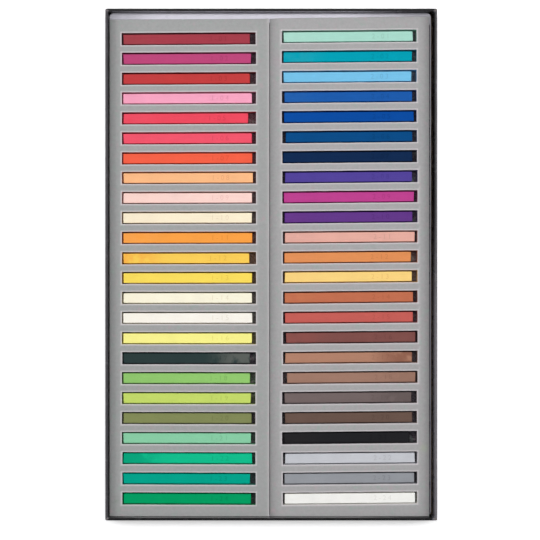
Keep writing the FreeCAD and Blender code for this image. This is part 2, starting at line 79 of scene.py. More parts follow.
class Wire:
    """A number running through a shader; arithmetic on it adds Math nodes."""

    def __init__(self, tree: "Shader", socket: bpy.types.NodeSocket) -> None:
        """Wrap one output socket of a shader."""
        self.tree = tree
        self.socket = socket

    def _math(self, operation: str, *values: Number) -> "Wire":
        """Add one Math node."""
        return self.tree.add("ShaderNodeMath", {"operation": operation}, dict(enumerate(values)))

    def __add__(self, other: Number) -> "Wire":
        """Sum."""
        return self._math("ADD", self, other)

    __radd__ = __add__

    def __sub__(self, other: Number) -> "Wire":
        """Difference."""
        return self._math("SUBTRACT", self, other)

    def __rsub__(self, other: Number) -> "Wire":
        """Difference from a plain number."""
        return self._math("SUBTRACT", other, self)

    def __mul__(self, other: Number) -> "Wire":
        """Product."""
        return self._math("MULTIPLY", self, other)

    __rmul__ = __mul__

    def __abs__(self) -> "Wire":
        """Size without sign."""
        return self._math("ABSOLUTE", self)

    def most(self, other: Number) -> "Wire":
        """The larger of two values."""
        return self._math("MAXIMUM", self, other)

    def least(self, other: Number) -> "Wire":
        """The smaller of two values."""
        return self._math("MINIMUM", self, other)

    def rise(self, low: float, high: float) -> "Wire":
        """A smooth step from 0 at low to 1 at high; it falls where low is above high.

        Args:
            low: The value where the step is 0.
            high: The value where the step is 1.

        Returns:
            The step.
        """
        if low > high:
            return 1 - self.rise(high, low)
        return self.tree.add("ShaderNodeMapRange", {"interpolation_type": "SMOOTHSTEP"},
                             {"Value": self, "From Min": low, "From Max": high})


class Shader:
    """A material's node tree around one Principled shader."""

    # Where a Mix node keeps its factor, its two colours and the mixed colour.
    MIX_INPUTS = (0, 6, 7)
    MIX_RESULT = 2

    def __init__(self, name: str) -> None:
        """Make an empty material with its output and its Principled shader."""
        self.material = bpy.data.materials.new(name)
        self.material.use_nodes = True
        self.nodes = self.material.node_tree.nodes
        self.links = self.material.node_tree.links
        self.surface = next(node for node in self.nodes if node.type == "BSDF_PRINCIPLED")

    def add(self, kind: str, settings: Mapping[str, Any], inputs: Mapping[Union[int, str], Any],
            output: Union[int, str] = 0) -> Wire:
        """Add any node: its settings first, then the values or links of its sockets.

        Args:
            kind: The node's type.
            settings: Its properties.
            inputs: Values, wires or colours by socket name or number.
            output: The socket to return.

        Returns:
            The output as a wire.
        """
        node = self.nodes.new(kind)
        for name, value in settings.items():
            setattr(node, name, value)
        for name, value in inputs.items():
            self.feed(node.inputs[name], value)
        return Wire(self, node.outputs[output])

    def feed(self, socket: bpy.types.NodeSocket, value: Any) -> None:
        """Link a wire to a socket, or set the socket's own value."""
        if isinstance(value, Wire):
            self.links.new(value.socket, socket)
        elif socket.type == "RGBA":
            socket.default_value = (*value, 1.0)
        else:
            socket.default_value = value

    def set(self, **sockets: Any) -> None:
        """Feed the Principled shader; an underscore in a name stands for a space."""
        for name, value in sockets.items():
            self.feed(self.surface.inputs[name.replace("_", " ")], value)

    def place(self, centre: Sequence[float] = (0, 0, 0), turn: float = 0.0,
              scale: Sequence[float] = (1, 1, 1)) -> Wire:
        """Object coordinates, moved to a centre, turned about +Z and scaled.

        Args:
            centre: The point that becomes zero.
            turn: The turn of the piece, in radians.
            scale: The scale along each of the piece's own axes.

        Returns:
            The coordinates.
        """
        points = self.add("ShaderNodeTexCoord", {}, {}, "Object")
        moved = self.add("ShaderNodeVectorMath", {"operation": "SUBTRACT"}, {0: points, 1: centre})
        return self.add("ShaderNodeMapping", {"vector_type": "POINT"},
                        {"Vector": moved, "Rotation": (0, 0, -turn), "Scale": scale})

    def noise(self, points: Wire, scale: float, detail: float = 2.0, roughness: float = 0.5) -> Wire:
        """Smooth noise from 0 to 1, whose features are about 1/scale metres wide."""
        return self.add("ShaderNodeTexNoise", {"noise_dimensions": "3D"},
                        {"Vector": points, "Scale": scale, "Detail": detail, "Roughness": roughness}, "Fac")

    def cells(self, points: Wire, scale: float, feature: str = "F1") -> Wire:
        """Distance to the nearest cell point, or to the nearest cell border."""
        return self.add("ShaderNodeTexVoronoi", {"feature": feature}, {"Vector": points, "Scale": scale},
                        "Distance")

    def mix(self, factor: Number, first: Any, second: Any) -> Wire:
        """Mix two colours."""
        inputs = dict(zip(self.MIX_INPUTS, (factor, first, second)))
        return self.add("ShaderNodeMix", {"data_type": "RGBA"}, inputs, self.MIX_RESULT)

    def shade(self, colour: Any, level: Wire) -> Wire:
        """Brighten or darken a colour by a number near 1."""
        return self.add("ShaderNodeVectorMath", {"operation": "SCALE"}, {0: colour, "Scale": level})

    def split(self, points: Wire) -> Tuple[Wire, Wire, Wire]:
        """The three numbers of a vector."""
        node = self.nodes.new("ShaderNodeSeparateXYZ")
        self.feed(node.inputs[0], points)
        return tuple(Wire(self, number) for number in node.outputs)

    def bump(self, height: Wire, depth: float, strength: float) -> Wire:
        """A bumped normal.

        Args:
            height: The height, 0 to 1.
            depth: How deep the relief is, in metres.
            strength: How much of it shows.

        Returns:
            The normal.
        """
        inputs = {"Height": height, "Distance": depth, "Strength": strength}
        return self.add("ShaderNodeBump", {}, inputs, "Normal")

    def attribute(self, name: str, output: str = "Fac") -> Wire:
        """A number, or with the output Color a colour, stored on the piece's points."""
        return self.add("ShaderNodeAttribute", {"attribute_name": name}, {}, output)


@dataclass(frozen=True)
class Glare:
    """The middle stretch of the back wall and ledge, which mirrors the light, with an uneven border; it
    places the painted reflection on the back wall and the painted shade past it on the ledge.
    """

    middle: float = -12.0 * MM
    waver: float = 20.0 * MM

    def beside(self, across: Wire, cloud: Wire) -> Wire:
        """How far a point lies to the side of the middle of the stretch."""
        return abs(across - self.middle) + self.waver * cloud


@dataclass(frozen=True)
class Leatherette:
    """Black paper embossed with a fine leather grain, scuffed along its folds and ridged at the mitres, with
    painted sheen on the long rims, a painted reflection on the inner back wall and a painted light streak on
    the right wall.
    """

    name: str = "black_leatherette"
    colour: Colour = srgb(14, 13, 16)
    # Pale colour of scuffs and mitre ridges, also used for the painted sheen, reflection and light streak.
    worn_and_sheen: Colour = srgb(120, 118, 124)
    grain: float = 1500.0
    grain_depth: float = 0.05 * MM
    half_width: float = 118.0 * MM
    half_length: float = 182.0 * MM
    rim_height: float = 19.0 * MM
    fold: Tuple[float, float] = (1.1 * MM, 0.2 * MM)
    # Painted sheen on the long rims, in place of the side lights' glints: a band in from the left rim's edge
    # and a drifting line on the right rim.
    left_rub: Tuple[float, float] = (3.4 * MM, 0.2 * MM)
    right_rub: Tuple[float, float] = (0.7 * MM, 0.2 * MM)
    right_rub_place: float = 0.65 * MM
    right_rub_drift: float = 0.7 * MM
    ridge_start: Tuple[float, float] = (0.1 * MM, 0.4 * MM)
    ridge_end: Tuple[float, float] = (1.1 * MM, 0.7 * MM)
    ridge_reach: Tuple[float, float] = (5.0 * MM, 3.0 * MM)
    glare: Glare = Glare()
    # Where the painted reflection lies on the inner back wall, and where the painted light streak lies on the
    # right wall's front part.
    glare_reach: Tuple[float, float] = (120.0 * MM, 85.0 * MM)
    back_wall_start: Tuple[float, float] = (1.2 * MM, 1.6 * MM)
    back_wall_end: Tuple[float, float] = (4.0 * MM, 3.0 * MM)
    right_wall: Tuple[float, float] = (114.0 * MM, 115.5 * MM)
    right_streak_front: Tuple[float, float] = (50.0 * MM, -60.0 * MM)
    middle_blend: float = 10.0 * MM
    length_blend: float = 50.0 * MM

    def material(self) -> bpy.types.Material:
        """Build the material."""
        shader = Shader(self.name)
        points = shader.place()
        across, along, height = shader.split(points)
        pebbles = shader.cells(points, self.grain, "DISTANCE_TO_EDGE").rise(0.0, 0.28)
        creases = shader.noise(points, 420.0, 4.0, 0.6)
        cloud = shader.noise(points, 60.0, 4.0, 0.65)
        scuffs = shader.noise(shader.place(scale=(1, 1, 0.4)), 210.0, 5.0, 0.7).rise(0.52, 0.72)
        folded = height.rise(*(self.rim_height - depth for depth in self.fold))
        side = self.half_width - abs(across)
        end = self.half_length - abs(along)
        # Painted sheen: the long rims are lightened towards the pale colour in bands, with a scuffed texture.
        rim_sheen_mask = self.rim_sheen(side, across, along) * folded
        ridge = self.mitre_ridge(side, end)
        wear = scuffs * (0.06 + 0.16 * folded) * cloud.rise(0.35, 0.6)
        wear = wear.most(rim_sheen_mask * (0.4 + 0.4 * scuffs))
        wear = wear.most(ridge * (0.5 + 0.9 * creases) * (0.4 + 0.6 * folded))
        # Painted reflection on the middle of the inner back wall, where it would mirror the bright ledge, and
        # a painted light streak on the front part of the right wall's inner face; both lighten the base
        # colour towards the pale colour.
        lit = self.glare.beside(across, cloud).rise(*self.glare_reach)
        inner = lit * end.rise(*self.back_wall_start) * end.rise(*self.back_wall_end) * (1 - folded)
        right_wall_streak = across.rise(*self.right_wall) * along.rise(*self.right_streak_front)
        dust_and_sheen = (inner * along.rise(-self.length_blend, self.length_blend)).most(
            right_wall_streak * (0.7 + 0.5 * creases))
        plain = shader.shade(self.colour, 0.7 + 0.6 * cloud)
        relief = pebbles * 0.7 + creases * 0.3 + ridge
        shader.set(Base_Color=shader.mix(wear.most(0.8 * dust_and_sheen), plain, self.worn_and_sheen),
                   Roughness=(0.2 + 0.16 * cloud + 0.3 * wear).least(1.0),
                   Normal=shader.bump(relief, self.grain_depth, 0.45))
        shader.set(Specular_IOR_Level=0.12, Coat_Weight=inner, Coat_Roughness=0.1)
        return shader.material

    def rim_sheen(self, side: Wire, across: Wire, along: Wire) -> Wire:
        """How much painted sheen lies on the long rims: the left one from its edge inwards, the right one
        along a line.

        Args:
            side: The distance from the nearer long side.
            across: The place across the tray.
            along: The place along the tray.

        Returns:
            The painted sheen, where the rim is folded.
        """
        left = side.rise(*self.left_rub) * across.rise(self.middle_blend, -self.middle_blend)
        line = self.right_rub_place + self.right_rub_drift * along.rise(self.length_blend, -self.length_blend)
        right = abs(side - line).rise(*self.right_rub) * across.rise(-self.middle_blend, self.middle_blend)
        return left.most(1.2 * right)

    def mitre_ridge(self, side: Wire, end: Wire) -> Wire:
        """The doubled paper on both sides of each corner's mitre, from the distances to side and end."""
        from_mitre = abs(side - end)
        strips = from_mitre.rise(*self.ridge_start) * from_mitre.rise(*self.ridge_end)
        return strips * side.most(end).rise(*self.ridge_reach)


@dataclass(frozen=True)
class PlainPaper:
    """Uncoated paper: fibres, faint mottling and a matt face."""

    name: str
    colour: Colour
    fibre: float = 900.0
    nap: float = 0.02 * MM

    def material(self) -> bpy.types.Material:
        """Build the material."""
        shader = Shader(self.name)
        fibres = shader.noise(shader.place(scale=(1, 0.7, 1)), self.fibre, 4.0, 0.6)
        cloud = shader.noise(shader.place(), 70.0, 3.0)
        shader.set(Base_Color=shader.shade(self.colour, 0.82 + 0.22 * cloud + 0.14 * fibres),
                   Roughness=0.78 + 0.16 * fibres,
                   Normal=shader.bump(fibres, self.nap, 0.3))
        shader.set(Specular_IOR_Level=0.2)
        return shader.material


@dataclass(frozen=True)
class Chipboard:
    """Grey-brown board pressed from waste paper, with specks and a soft broken surface."""

    name: str = "raw_chipboard"
    colour: Colour = srgb(150, 132, 108)
    speck: Colour = srgb(88, 76, 64)
    ply_depth: float = 0.08 * MM

    def material(self) -> bpy.types.Material:
        """Build the material."""
        shader = Shader(self.name)
        points = shader.place()
        flecks = shader.noise(points, 1400.0, 3.0, 0.7).rise(0.6, 0.72)
        plies = shader.noise(shader.place(scale=(1, 1, 9)), 260.0, 4.0, 0.6)
        body = shader.shade(self.colour, 0.78 + 0.4 * plies)
        shader.set(Base_Color=shader.mix(0.6 * flecks, body, self.speck),
                   Roughness=0.8 + 0.15 * plies,
                   Normal=shader.bump(plies, self.ply_depth, 0.7))
        return shader.material


@dataclass(frozen=True)
class GlossPlastic:
    """Thin formed plastic, smooth with faint dust, a cool pale grey, with painted shade towards the corners
    and along the back wall.
    """

    name: str = "formed_plastic"
    colour: Colour = srgb(199, 196, 209)
    dust: Colour = srgb(184, 181, 190)
    painted_shade: Colour = srgb(140, 138, 150)
    wave_depth: float = 0.25 * MM
    glare: Glare = Glare()
    # Where the painted shade lies: past the middle stretch that mirrors the light, and in a thin line along
    # the back wall.
    corner_reach: Tuple[float, float] = (70.0 * MM, 130.0 * MM)
    wall_line: Tuple[float, float] = (179.2 * MM, 179.5 * MM)

    def material(self) -> bpy.types.Material:
        """Build the material."""
        shader = Shader(self.name)
        points = shader.place()
        cloud = shader.noise(points, 45.0, 4.0, 0.6)
        specks = shader.noise(points, 900.0, 3.0, 0.7).rise(0.55, 0.72)
        waves = shader.noise(points, 90.0, 2.0)
        across, along, _ = shader.split(points)
        dust_and_sheen = shader.mix(0.35 * specks + 0.3 * cloud.rise(0.45, 0.7), self.colour, self.dust)
        # Painted shade: the ledge darkens towards the corners, where it no longer mirrors the light, and in a
        # thin painted contact shadow along the back wall.
        corners = self.glare.beside(across, cloud).rise(*self.corner_reach)
        by_wall = along.rise(*self.wall_line)
        shader.set(Base_Color=shader.mix((0.95 * corners).most(0.95 * by_wall), dust_and_sheen, self.painted_shade),
                   Roughness=0.2 + 0.18 * cloud + 0.2 * specks,
                   Normal=shader.bump(waves, self.wave_depth, 0.35))
        shader.set(IOR=1.5)
        return shader.material


@dataclass(frozen=True)
class Smudge:
    """A soft patch of loose pigment."""

    centre: Tuple[float, float, float]
    radius: float
    colour: Colour
    strength: float


@dataclass(frozen=True)
class GreyFoam:
    """Soft grey closed-cell foam: a fine skin of cells, mottled, dusted with pigment, with a painted
    highlight at its cut edges and painted shade where its piece stores them.
    """

    name: str
    colour: Colour
    edge_highlight: Colour = srgb(226, 220, 224)
    rosy_dust: Colour = srgb(186, 160, 168)
    green_dust: Colour = srgb(150, 176, 164)
    speckle: float = 0.0
    smudges: Tuple[Smudge, ...] = ()
    cell_depth: float = 0.12 * MM
    smudge_waver: float = 4.0 * MM
    other_place: Tuple[float, float, float] = (0.3, 0.2, 0.1)

    def material(self) -> bpy.types.Material:
        """Build the material."""
        shader = Shader(self.name)
        points = shader.place()
        cells = shader.cells(points, 2600.0)
        grain = shader.noise(points, 2400.0, 3.0, 0.7)
        mottle = shader.noise(points, 480.0, 4.0, 0.75)
        cloud = shader.noise(points, 38.0, 3.0, 0.5)
        speckles = shader.noise(points, 1500.0, 4.0, 0.8).rise(0.42, 0.62)
        level = 0.74 + 0.14 * grain + 0.32 * mottle + 0.06 * cloud + self.speckle * (speckles - 0.5)
        # Painted shade: darker by the tray's walls, along the back edge and at the right sheet's seam, where
        # the walls and the left sheet would shade the foam.
        level = level * (1 - 0.2 * shader.attribute(SlottedSheet.SHADE_ATTRIBUTE))
        tone = shader.shade(self.colour, level)
        rosy = shader.noise(points, 230.0, 3.0, 0.6).rise(0.54, 0.74)
        tinted = shader.mix(0.38 * rosy, tone, self.rosy_dust)
        greenish = shader.noise(shader.place(self.other_place), 260.0, 3.0, 0.6).rise(0.54, 0.74)
        tinted = shader.mix(0.38 * greenish, tinted, self.green_dust)
        # Painted highlight: paler by the slots' cut edges and along the left sheet's seam, as lit edges would
        # look.
        tinted = shader.mix(0.7 * shader.attribute(SlottedSheet.EDGE_HIGHLIGHT), tinted, self.edge_highlight)
        dusted = shader.attribute(SlottedSheet.DUSTING) * (0.6 + 0.5 * mottle)
        tinted = shader.mix(dusted, tinted, shader.attribute(SlottedSheet.PIGMENT, "Color"))
        for smudge in self.smudges:
            distance = shader.add("ShaderNodeVectorMath", {"operation": "DISTANCE"},
                                  {0: points, 1: smudge.centre}, "Value")
            patch = (distance + self.smudge_waver * mottle).rise(smudge.radius, 0.0)
            tinted = shader.mix(smudge.strength * patch, tinted, smudge.colour)
        shader.set(Base_Color=tinted,
                   Roughness=0.84 + 0.14 * grain,
                   Normal=shader.bump(0.6 * cells + 0.4 * grain, self.cell_depth, 0.55))
        shader.set(Specular_IOR_Level=0.1)
        return shader.material


class Pigment(Enum):
    """The colour of each stick."""

    CARMINE = (160, 61, 74)
    RASPBERRY = (184, 71, 120)
    RED = (190, 62, 63)
    LIGHT_PINK = (248, 162, 190)
    CORAL_RED = (232, 74, 94)
    ROSE_RED = (240, 85, 107)
    VERMILION = (244, 96, 70)
    PEACH = (254, 184, 133)
    PALE_PINK = (255, 210, 202)
    CREAM_PEACH = (255, 235, 205)
    ORANGE = (254, 159, 70)
    YELLOW_ORANGE = (255, 203, 87)
    YELLOW = (255, 218, 93)
    IVORY = (255, 247, 218)
    OFF_WHITE = (255, 248, 232)
    LEMON = (255, 246, 140)
    DARK_GREEN = (44, 60, 60)
    LEAF_GREEN = (144, 198, 110)
    YELLOW_GREEN = (195, 216, 105)
    OLIVE = (128, 135, 87)
    MINT = (136, 204, 165)
    EMERALD = (16, 188, 140)
    TEAL_GREEN = (0, 162, 138)
    GREEN = (0, 158, 98)
    PALE_MINT = (165, 213, 199)
    TURQUOISE = (0, 155, 176)
    SKY_BLUE = (117, 190, 228)
    BLUE = (28, 88, 166)
    DEEP_BLUE = (8, 73, 156)
    PRUSSIAN_BLUE = (8, 73, 130)
    NAVY = (16, 41, 78)
    BLUE_VIOLET = (81, 66, 150)
    MAGENTA = (186, 65, 140)
    PURPLE = (97, 56, 134)
    SALMON = (226, 171, 158)
    APRICOT = (222, 142, 87)
    MAIZE = (255, 209, 128)
    BURNT_ORANGE = (191, 110, 80)
    BRICK_RED = (194, 94, 87)
    MAROON = (125, 78, 74)
    TAN = (175, 128, 106)
    LIGHT_BROWN = (158, 121, 105)
    TAUPE = (113, 100, 99)
    BROWN = (104, 83, 74)
    BLACK = (34, 34, 37)
    LAVENDER_GREY = (196, 198, 204)
    COOL_GREY = (147, 150, 156)
    WHITE = (252, 251, 245)


@dataclass(frozen=True)
class PressedPigment:
    """Hard pressed pastel: chalky, streaked along the stick, paler on its edges with rubbing and a painted
    highlight, dusted, and with painted shade in its pressed digits.
    """

    name: str
    colour: Colour
    centre: Tuple[float, float, float]
    turn: float
    half: float
    seed: float
    smear: Colour
    smear_strength: float
    smear_end: int
    smear_reach: Tuple[float, float] = (12.0 * MM, 36.0 * MM)
    stamp_floor: Tuple[float, float] = (0.08 * MM, 0.15 * MM)
    grain_depth: float = 0.09 * MM

    def material(self) -> bpy.types.Material:
        """Build the material."""
        shader = Shader(self.name)
        own = shader.place(self.centre, self.turn)
        along, across, up = shader.split(own)
        shift = (self.seed, -self.seed, self.seed)
        points = shader.add("ShaderNodeVectorMath", {"operation": "ADD"}, {0: own, 1: shift})
        stretched = shader.add("ShaderNodeMapping", {"vector_type": "POINT"},
                               {"Vector": points, "Scale": (0.12, 1.0, 1.0)})
        cloud = shader.noise(points, 95.0, 3.0, 0.5)
        streaks = shader.noise(stretched, 900.0, 4.0, 0.65)
        grain = shader.noise(points, 3200.0, 3.0, 0.75)
        pits = shader.cells(points, 1300.0).rise(0.18, 0.02)
        # Paler along the long edges: partly rubbing, partly a painted highlight.
        edge = abs(across).most(abs(up)).rise(self.half * 0.8, self.half)
        rub = edge * (0.4 + 0.6 * streaks)
        # The pits are painted a little darker as well: painted shade in them.
        level = 0.79 + 0.22 * cloud + 0.12 * streaks + 0.1 * grain - 0.1 * pits
        tone = shader.shade(self.colour, level)
        dusted = shader.noise(points, 260.0, 4.0, 0.7).rise(0.55, 0.8)
        pale = tuple(min(1.25 * part + 0.006, 1.0) for part in self.colour)
        tone = shader.mix(0.5 * rub + 0.3 * dusted, tone, pale)
        patches = shader.noise(points, 110.0, 3.0, 0.6).rise(0.3, 0.52)
        smeared = (self.smear_end * along).rise(*self.smear_reach) * patches
        tone = shader.mix(self.smear_strength * smeared, tone, self.smear)
        # Painted shade in the pressed digits: their floors darken towards a deeper tone of the stick's
        # colour.
        stamp_shade = (self.half - up).rise(*self.stamp_floor) * up.rise(self.half * 0.9, self.half * 0.92)
        stamp_shade = stamp_shade * abs(across).rise(self.half * 0.86, self.half * 0.8)
        tone = shader.mix(0.22 * stamp_shade, tone, tuple(0.45 * part for part in self.colour))
        shader.set(Base_Color=tone,
                   Roughness=0.82 + 0.16 * grain,
                   Normal=shader.bump(0.6 * grain + 0.4 * streaks - 0.5 * pits, self.grain_depth, 0.6))
        shader.set(Specular_IOR_Level=0.0)
        return shader.material


def dress(piece: bpy.types.Object, material: bpy.types.Material) -> None:
    """Give a piece one finish all over."""
    piece.data.materials.clear()
    piece.data.materials.append(material)


def deselect_all() -> None:
    """Leave nothing selected, in object mode."""
    if bpy.context.object is not None and bpy.context.object.mode != "OBJECT":
        bpy.ops.object.mode_set(mode="OBJECT")
    bpy.ops.object.select_all(action="DESELECT")


def pick(piece: bpy.types.Object) -> None:
    """Select one piece and make it active."""
    deselect_all()
    piece.select_set(True)
    bpy.context.view_layer.objects.active = piece


def rename(piece: bpy.types.Object, name: str) -> bpy.types.Object:
    """Name a piece and its mesh alike."""
    piece.name = name
    piece.data.name = name
    return piece


def settle(piece: bpy.types.Object) -> None:
    """Move a piece's place into its mesh, so that the object sits at the origin."""
    bpy.context.view_layer.update()
    piece.data.transform(piece.matrix_world)
    piece.matrix_world = Matrix.Identity(4)


def box_piece(name: str, low: Vector, high: Vector) -> bpy.types.Object:
    """Add a box between two corners, to be shaped further.

    Args:
        name: The piece's name.
        low: Its lowest corner.
        high: Its highest corner.

    Returns:
        The piece, at the origin.
    """
    deselect_all()
    bpy.ops.mesh.primitive_cube_add(size=1.0, location=(low + high) / 2)
    piece = bpy.context.object
    piece.scale = high - low
    settle(piece)
    return rename(piece, name)


class Editing:
    """Edit mode on one piece, for a with statement."""

    def __init__(self, piece: bpy.types.Object) -> None:
        """Remember the piece."""
        self.piece = piece

    def __enter__(self) -> "Editing":
        """Enter edit mode with nothing selected."""
        pick(self.piece)
        bpy.ops.object.mode_set(mode="EDIT")
        bpy.ops.mesh.select_all(action="DESELECT")
        return self

    def __exit__(self, *_: Any) -> None:
        """Go back to object mode."""
        bpy.ops.object.mode_set(mode="OBJECT")

    def faces(self, test: Callable[[Vector, Vector], bool]) -> int:
        """Select the faces whose centre and normal pass a test, and say how many they are."""
        bpy.ops.mesh.select_mode(type="FACE")
        mesh = bmesh.from_edit_mesh(self.piece.data)
        for face in mesh.faces:
            face.select_set(test(face.calc_center_median(), face.normal))
        mesh.select_flush_mode()
        bmesh.update_edit_mesh(self.piece.data)
        return sum(face.select for face in mesh.faces)

    def edges(self, test: Callable[[Vector, Vector], bool]) -> int:
        """Select the edges whose two ends pass a test, and say how many they are."""
        bpy.ops.mesh.select_mode(type="EDGE")
        mesh = bmesh.from_edit_mesh(self.piece.data)
        for edge in mesh.edges:
            edge.select_set(test(edge.verts[0].co, edge.verts[1].co))
        bmesh.update_edit_mesh(self.piece.data)
        return sum(edge.select for edge in mesh.edges)

    @staticmethod
    def cut(point: Sequence[float], normal: Sequence[float]) -> None:
        """Cut the whole mesh along a plane."""
        bpy.ops.mesh.select_all(action="SELECT")
        bpy.ops.mesh.bisect(plane_co=point, plane_no=normal, use_fill=False)


def apply_modifier(piece: bpy.types.Object, kind: str, **settings: Any) -> None:
    """Add a modifier, set it up and apply it."""
    pick(piece)
    modifier = piece.modifiers.new(kind.lower(), kind)
    for name, value in settings.items():
        setattr(modifier, name, value)
    bpy.ops.object.modifier_apply(modifier=modifier.name)


def soften_edges(piece: bpy.types.Object, width: float, segments: int = 3, angle: float = 40.0) -> None:
    """Round every edge sharper than an angle in degrees."""
    apply_modifier(piece, "BEVEL", width=width, segments=segments, limit_method="ANGLE",
                   angle_limit=math.radians(angle), use_clamp_overlap=True)


def smooth(piece: bpy.types.Object, angle: float = 38.0) -> None:
    """Shade smooth, apart from edges sharper than an angle in degrees."""
    pick(piece)
    bpy.ops.object.shade_smooth_by_angle(angle=math.radians(angle))


def move_points(piece: bpy.types.Object, shift: Callable[[Vector], Vector]) -> None:
    """Move each point of a piece by a shift worked out from its place."""
    for point in piece.data.vertices:
        point.co = point.co + shift(point.co)
    piece.data.update()


def store(piece: bpy.types.Object, *attributes: Tuple[str, str]) -> List[Sequence[Any]]:
    """Give a piece's points new attributes, and return the points and the attributes' values.

    Args:
        piece: The piece.
        attributes: Each new attribute's name and kind.

    Returns:
        The points, then the values of each attribute.
    """
    mesh = piece.data
    for name, kind in attributes:
        mesh.attributes.new(name, kind, "POINT")
    return [mesh.vertices] + [mesh.attributes[name].data for name, _ in attributes]


def ease(share: float) -> float:
    """A smooth step from 0 to 1, held outside."""
    share = min(max(share, 0.0), 1.0)
    return share * share * (3 - 2 * share)


def mount(piece: bpy.types.Object, body: str, slot: str, *nodes: str) -> None:
    """Fix a piece to its body, and let it stand for its CAD nodes."""
    if nodes:
        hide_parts(*nodes)
    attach(piece, body)
    log.info("%s rides on %s, %d faces", piece.name, body, len(piece.data.polygons))


class Side(Enum):
    """The two foam inserts."""

    LEFT = "left"
    RIGHT = "right"


@dataclass(frozen=True)
class RowQuirk:
    """How a few rows, counted from the back from 1, lie off the plan.

    Back is how far they lie further back, and each end how far it lies further right.
    """

    first: int
    last: int
    back: float = 0.0
    left_end: float = 0.0
    right_end: float = 0.0


@dataclass(frozen=True)
class SlotLayout:
    """Where one insert's slots lie, as they were cut.

    The front bar is the foam before the first slot, the row gap is the foam between two slots, and the
    margin is the foam left of the slots. The turn is how far the slots run out of line, in degrees. The
    outer lap is how far the sheet's upper layer reaches out over the liner's side lip, the back rise how
    far the back edge runs askew, and the fan how far the bars spread at one end and close at the other.
    """

    front_bar: float
    row_gap: float
    margin: float
    turn: float
    outer_lap: float
    back_rise: float
    fan: float
    slot_length: float = 95.8 * MM
    slot_width: float = 8.7 * MM
    rows: int = 24
    quirks: Tuple[RowQuirk, ...] = ()

    def centre_y(self, row: int) -> float:
        """How far a row's middle lies behind the insert's front edge; row 0 is the front one."""
        return self.front_bar + self.slot_width / 2 + row * (self.slot_width + self.row_gap)

    def nearest_row(self, behind: float) -> int:
        """The row nearest to a place so far behind the insert's front edge."""
        row = round((behind - self.centre_y(0)) / (self.slot_width + self.row_gap))
        return min(max(row, 0), self.rows - 1)

    def quirk(self, row: int) -> RowQuirk:
        """How one row, counted from the front from 0, lies off the plan in all."""
        place = self.rows - row
        own = [quirk for quirk in self.quirks if quirk.first <= place <= quirk.last]
        return RowQuirk(place, place, sum(quirk.back for quirk in own), sum(quirk.left_end for quirk in own),
                        sum(quirk.right_end for quirk in own))

    def spread(self, point: Vector, middle: Vector) -> float:
        """How far a point moves back, as the bars fan out round the middle of the slots."""
        reach = self.centre_y(self.rows - 1) - self.centre_y(0)
        return 4 * self.fan * (point.x - middle.x) / self.slot_length * (point.y - middle.y) / reach


LAYOUTS = {
    Side.LEFT: SlotLayout(front_bar=8.3 * MM, row_gap=5.6 * MM, margin=8.7 * MM, turn=0.1,
                          outer_lap=1.8 * MM, back_rise=0.6 * MM, fan=0.24 * MM,
                          quirks=(RowQuirk(1, 1, back=-0.5 * MM), RowQuirk(2, 3, back=-0.25 * MM),
                                  RowQuirk(8, 11, back=0.3 * MM), RowQuirk(13, 15, back=0.25 * MM),
                                  RowQuirk(18, 21, back=0.1 * MM), RowQuirk(23, 24, back=-0.25 * MM),
                                  RowQuirk(2, 24, left_end=0.2 * MM), RowQuirk(17, 17, left_end=0.3 * MM),
                                  RowQuirk(22, 24, left_end=0.35 * MM), RowQuirk(2, 17, right_end=0.25 * MM),
                                  RowQuirk(19, 22, right_end=-0.2 * MM))),
    Side.RIGHT: SlotLayout(front_bar=8.65 * MM, row_gap=5.64 * MM, margin=9.4 * MM, turn=0.55,
                           outer_lap=0.7 * MM, back_rise=1.3 * MM, fan=0.0,
                           quirks=(RowQuirk(1, 5, left_end=-0.65 * MM, right_end=-0.2 * MM),
                                   RowQuirk(6, 10, left_end=-0.35 * MM), RowQuirk(8, 18, right_end=0.45 * MM),
                                   RowQuirk(13, 13, back=0.3 * MM), RowQuirk(14, 17, left_end=0.15 * MM),
                                   RowQuirk(19, 21, left_end=-0.5 * MM),
                                   RowQuirk(22, 24, back=-0.3 * MM, right_end=0.25 * MM))),
}


def stick_nodes() -> List[str]:
    """The sticks' nodes, in the order of their numbers."""
    return sorted(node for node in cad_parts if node.startswith("pastel_"))


def colour_name(node: str) -> str:
    """The name of the colour in a stick's node name, such as light_pink in pastel_04_light_pink."""
    return node.split("_", 2)[2]


def stick_colour(node: str) -> Colour:
    """The colour of one stick."""
    return srgb(*Pigment[colour_name(node).upper()].value)


def stick_colours(side: Side) -> List[Colour]:
    """The colours of one insert's sticks, from the front row to the back row."""
    nodes = stick_nodes()
    half = len(nodes) // 2
    own = nodes[:half] if side is Side.LEFT else nodes[half:]
    return [stick_colour(node) for node in reversed(own)]


def slots_middle(side: Side) -> Vector:
    """The middle of one insert's field of slots."""
    low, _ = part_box(side.value + "_foam_sheet")
    layout = LAYOUTS[side]
    return Vector((low.x + layout.margin + layout.slot_length / 2,
                   low.y + (layout.centre_y(0) + layout.centre_y(layout.rows - 1)) / 2, low.z))


def dust_by_row(piece: bpy.types.Object, side: Side, amount: Callable[[Vector], float],
                shade: float) -> None:
    """Store on each point the nearest stick's colour and how much of its dust lies there.

    Args:
        piece: The foam piece.
        side: Its insert.
        amount: How much dust lies at a point, 0 to 1.
        shade: The share to which the colour is darkened.
    """
    low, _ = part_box(side.value + "_foam_sheet")
    colours = stick_colours(side)
    points, pigments, dusting = store(piece, (SlottedSheet.PIGMENT, "FLOAT_COLOR"),
                                      (SlottedSheet.DUSTING, "FLOAT"))
    for point, pigment, dust in zip(points, pigments, dusting):
        own = colours[LAYOUTS[side].nearest_row(point.co.y - low.y)]
        pigment.color = (*(shade * part for part in own), 1.0)
        dust.value = amount(point.co)


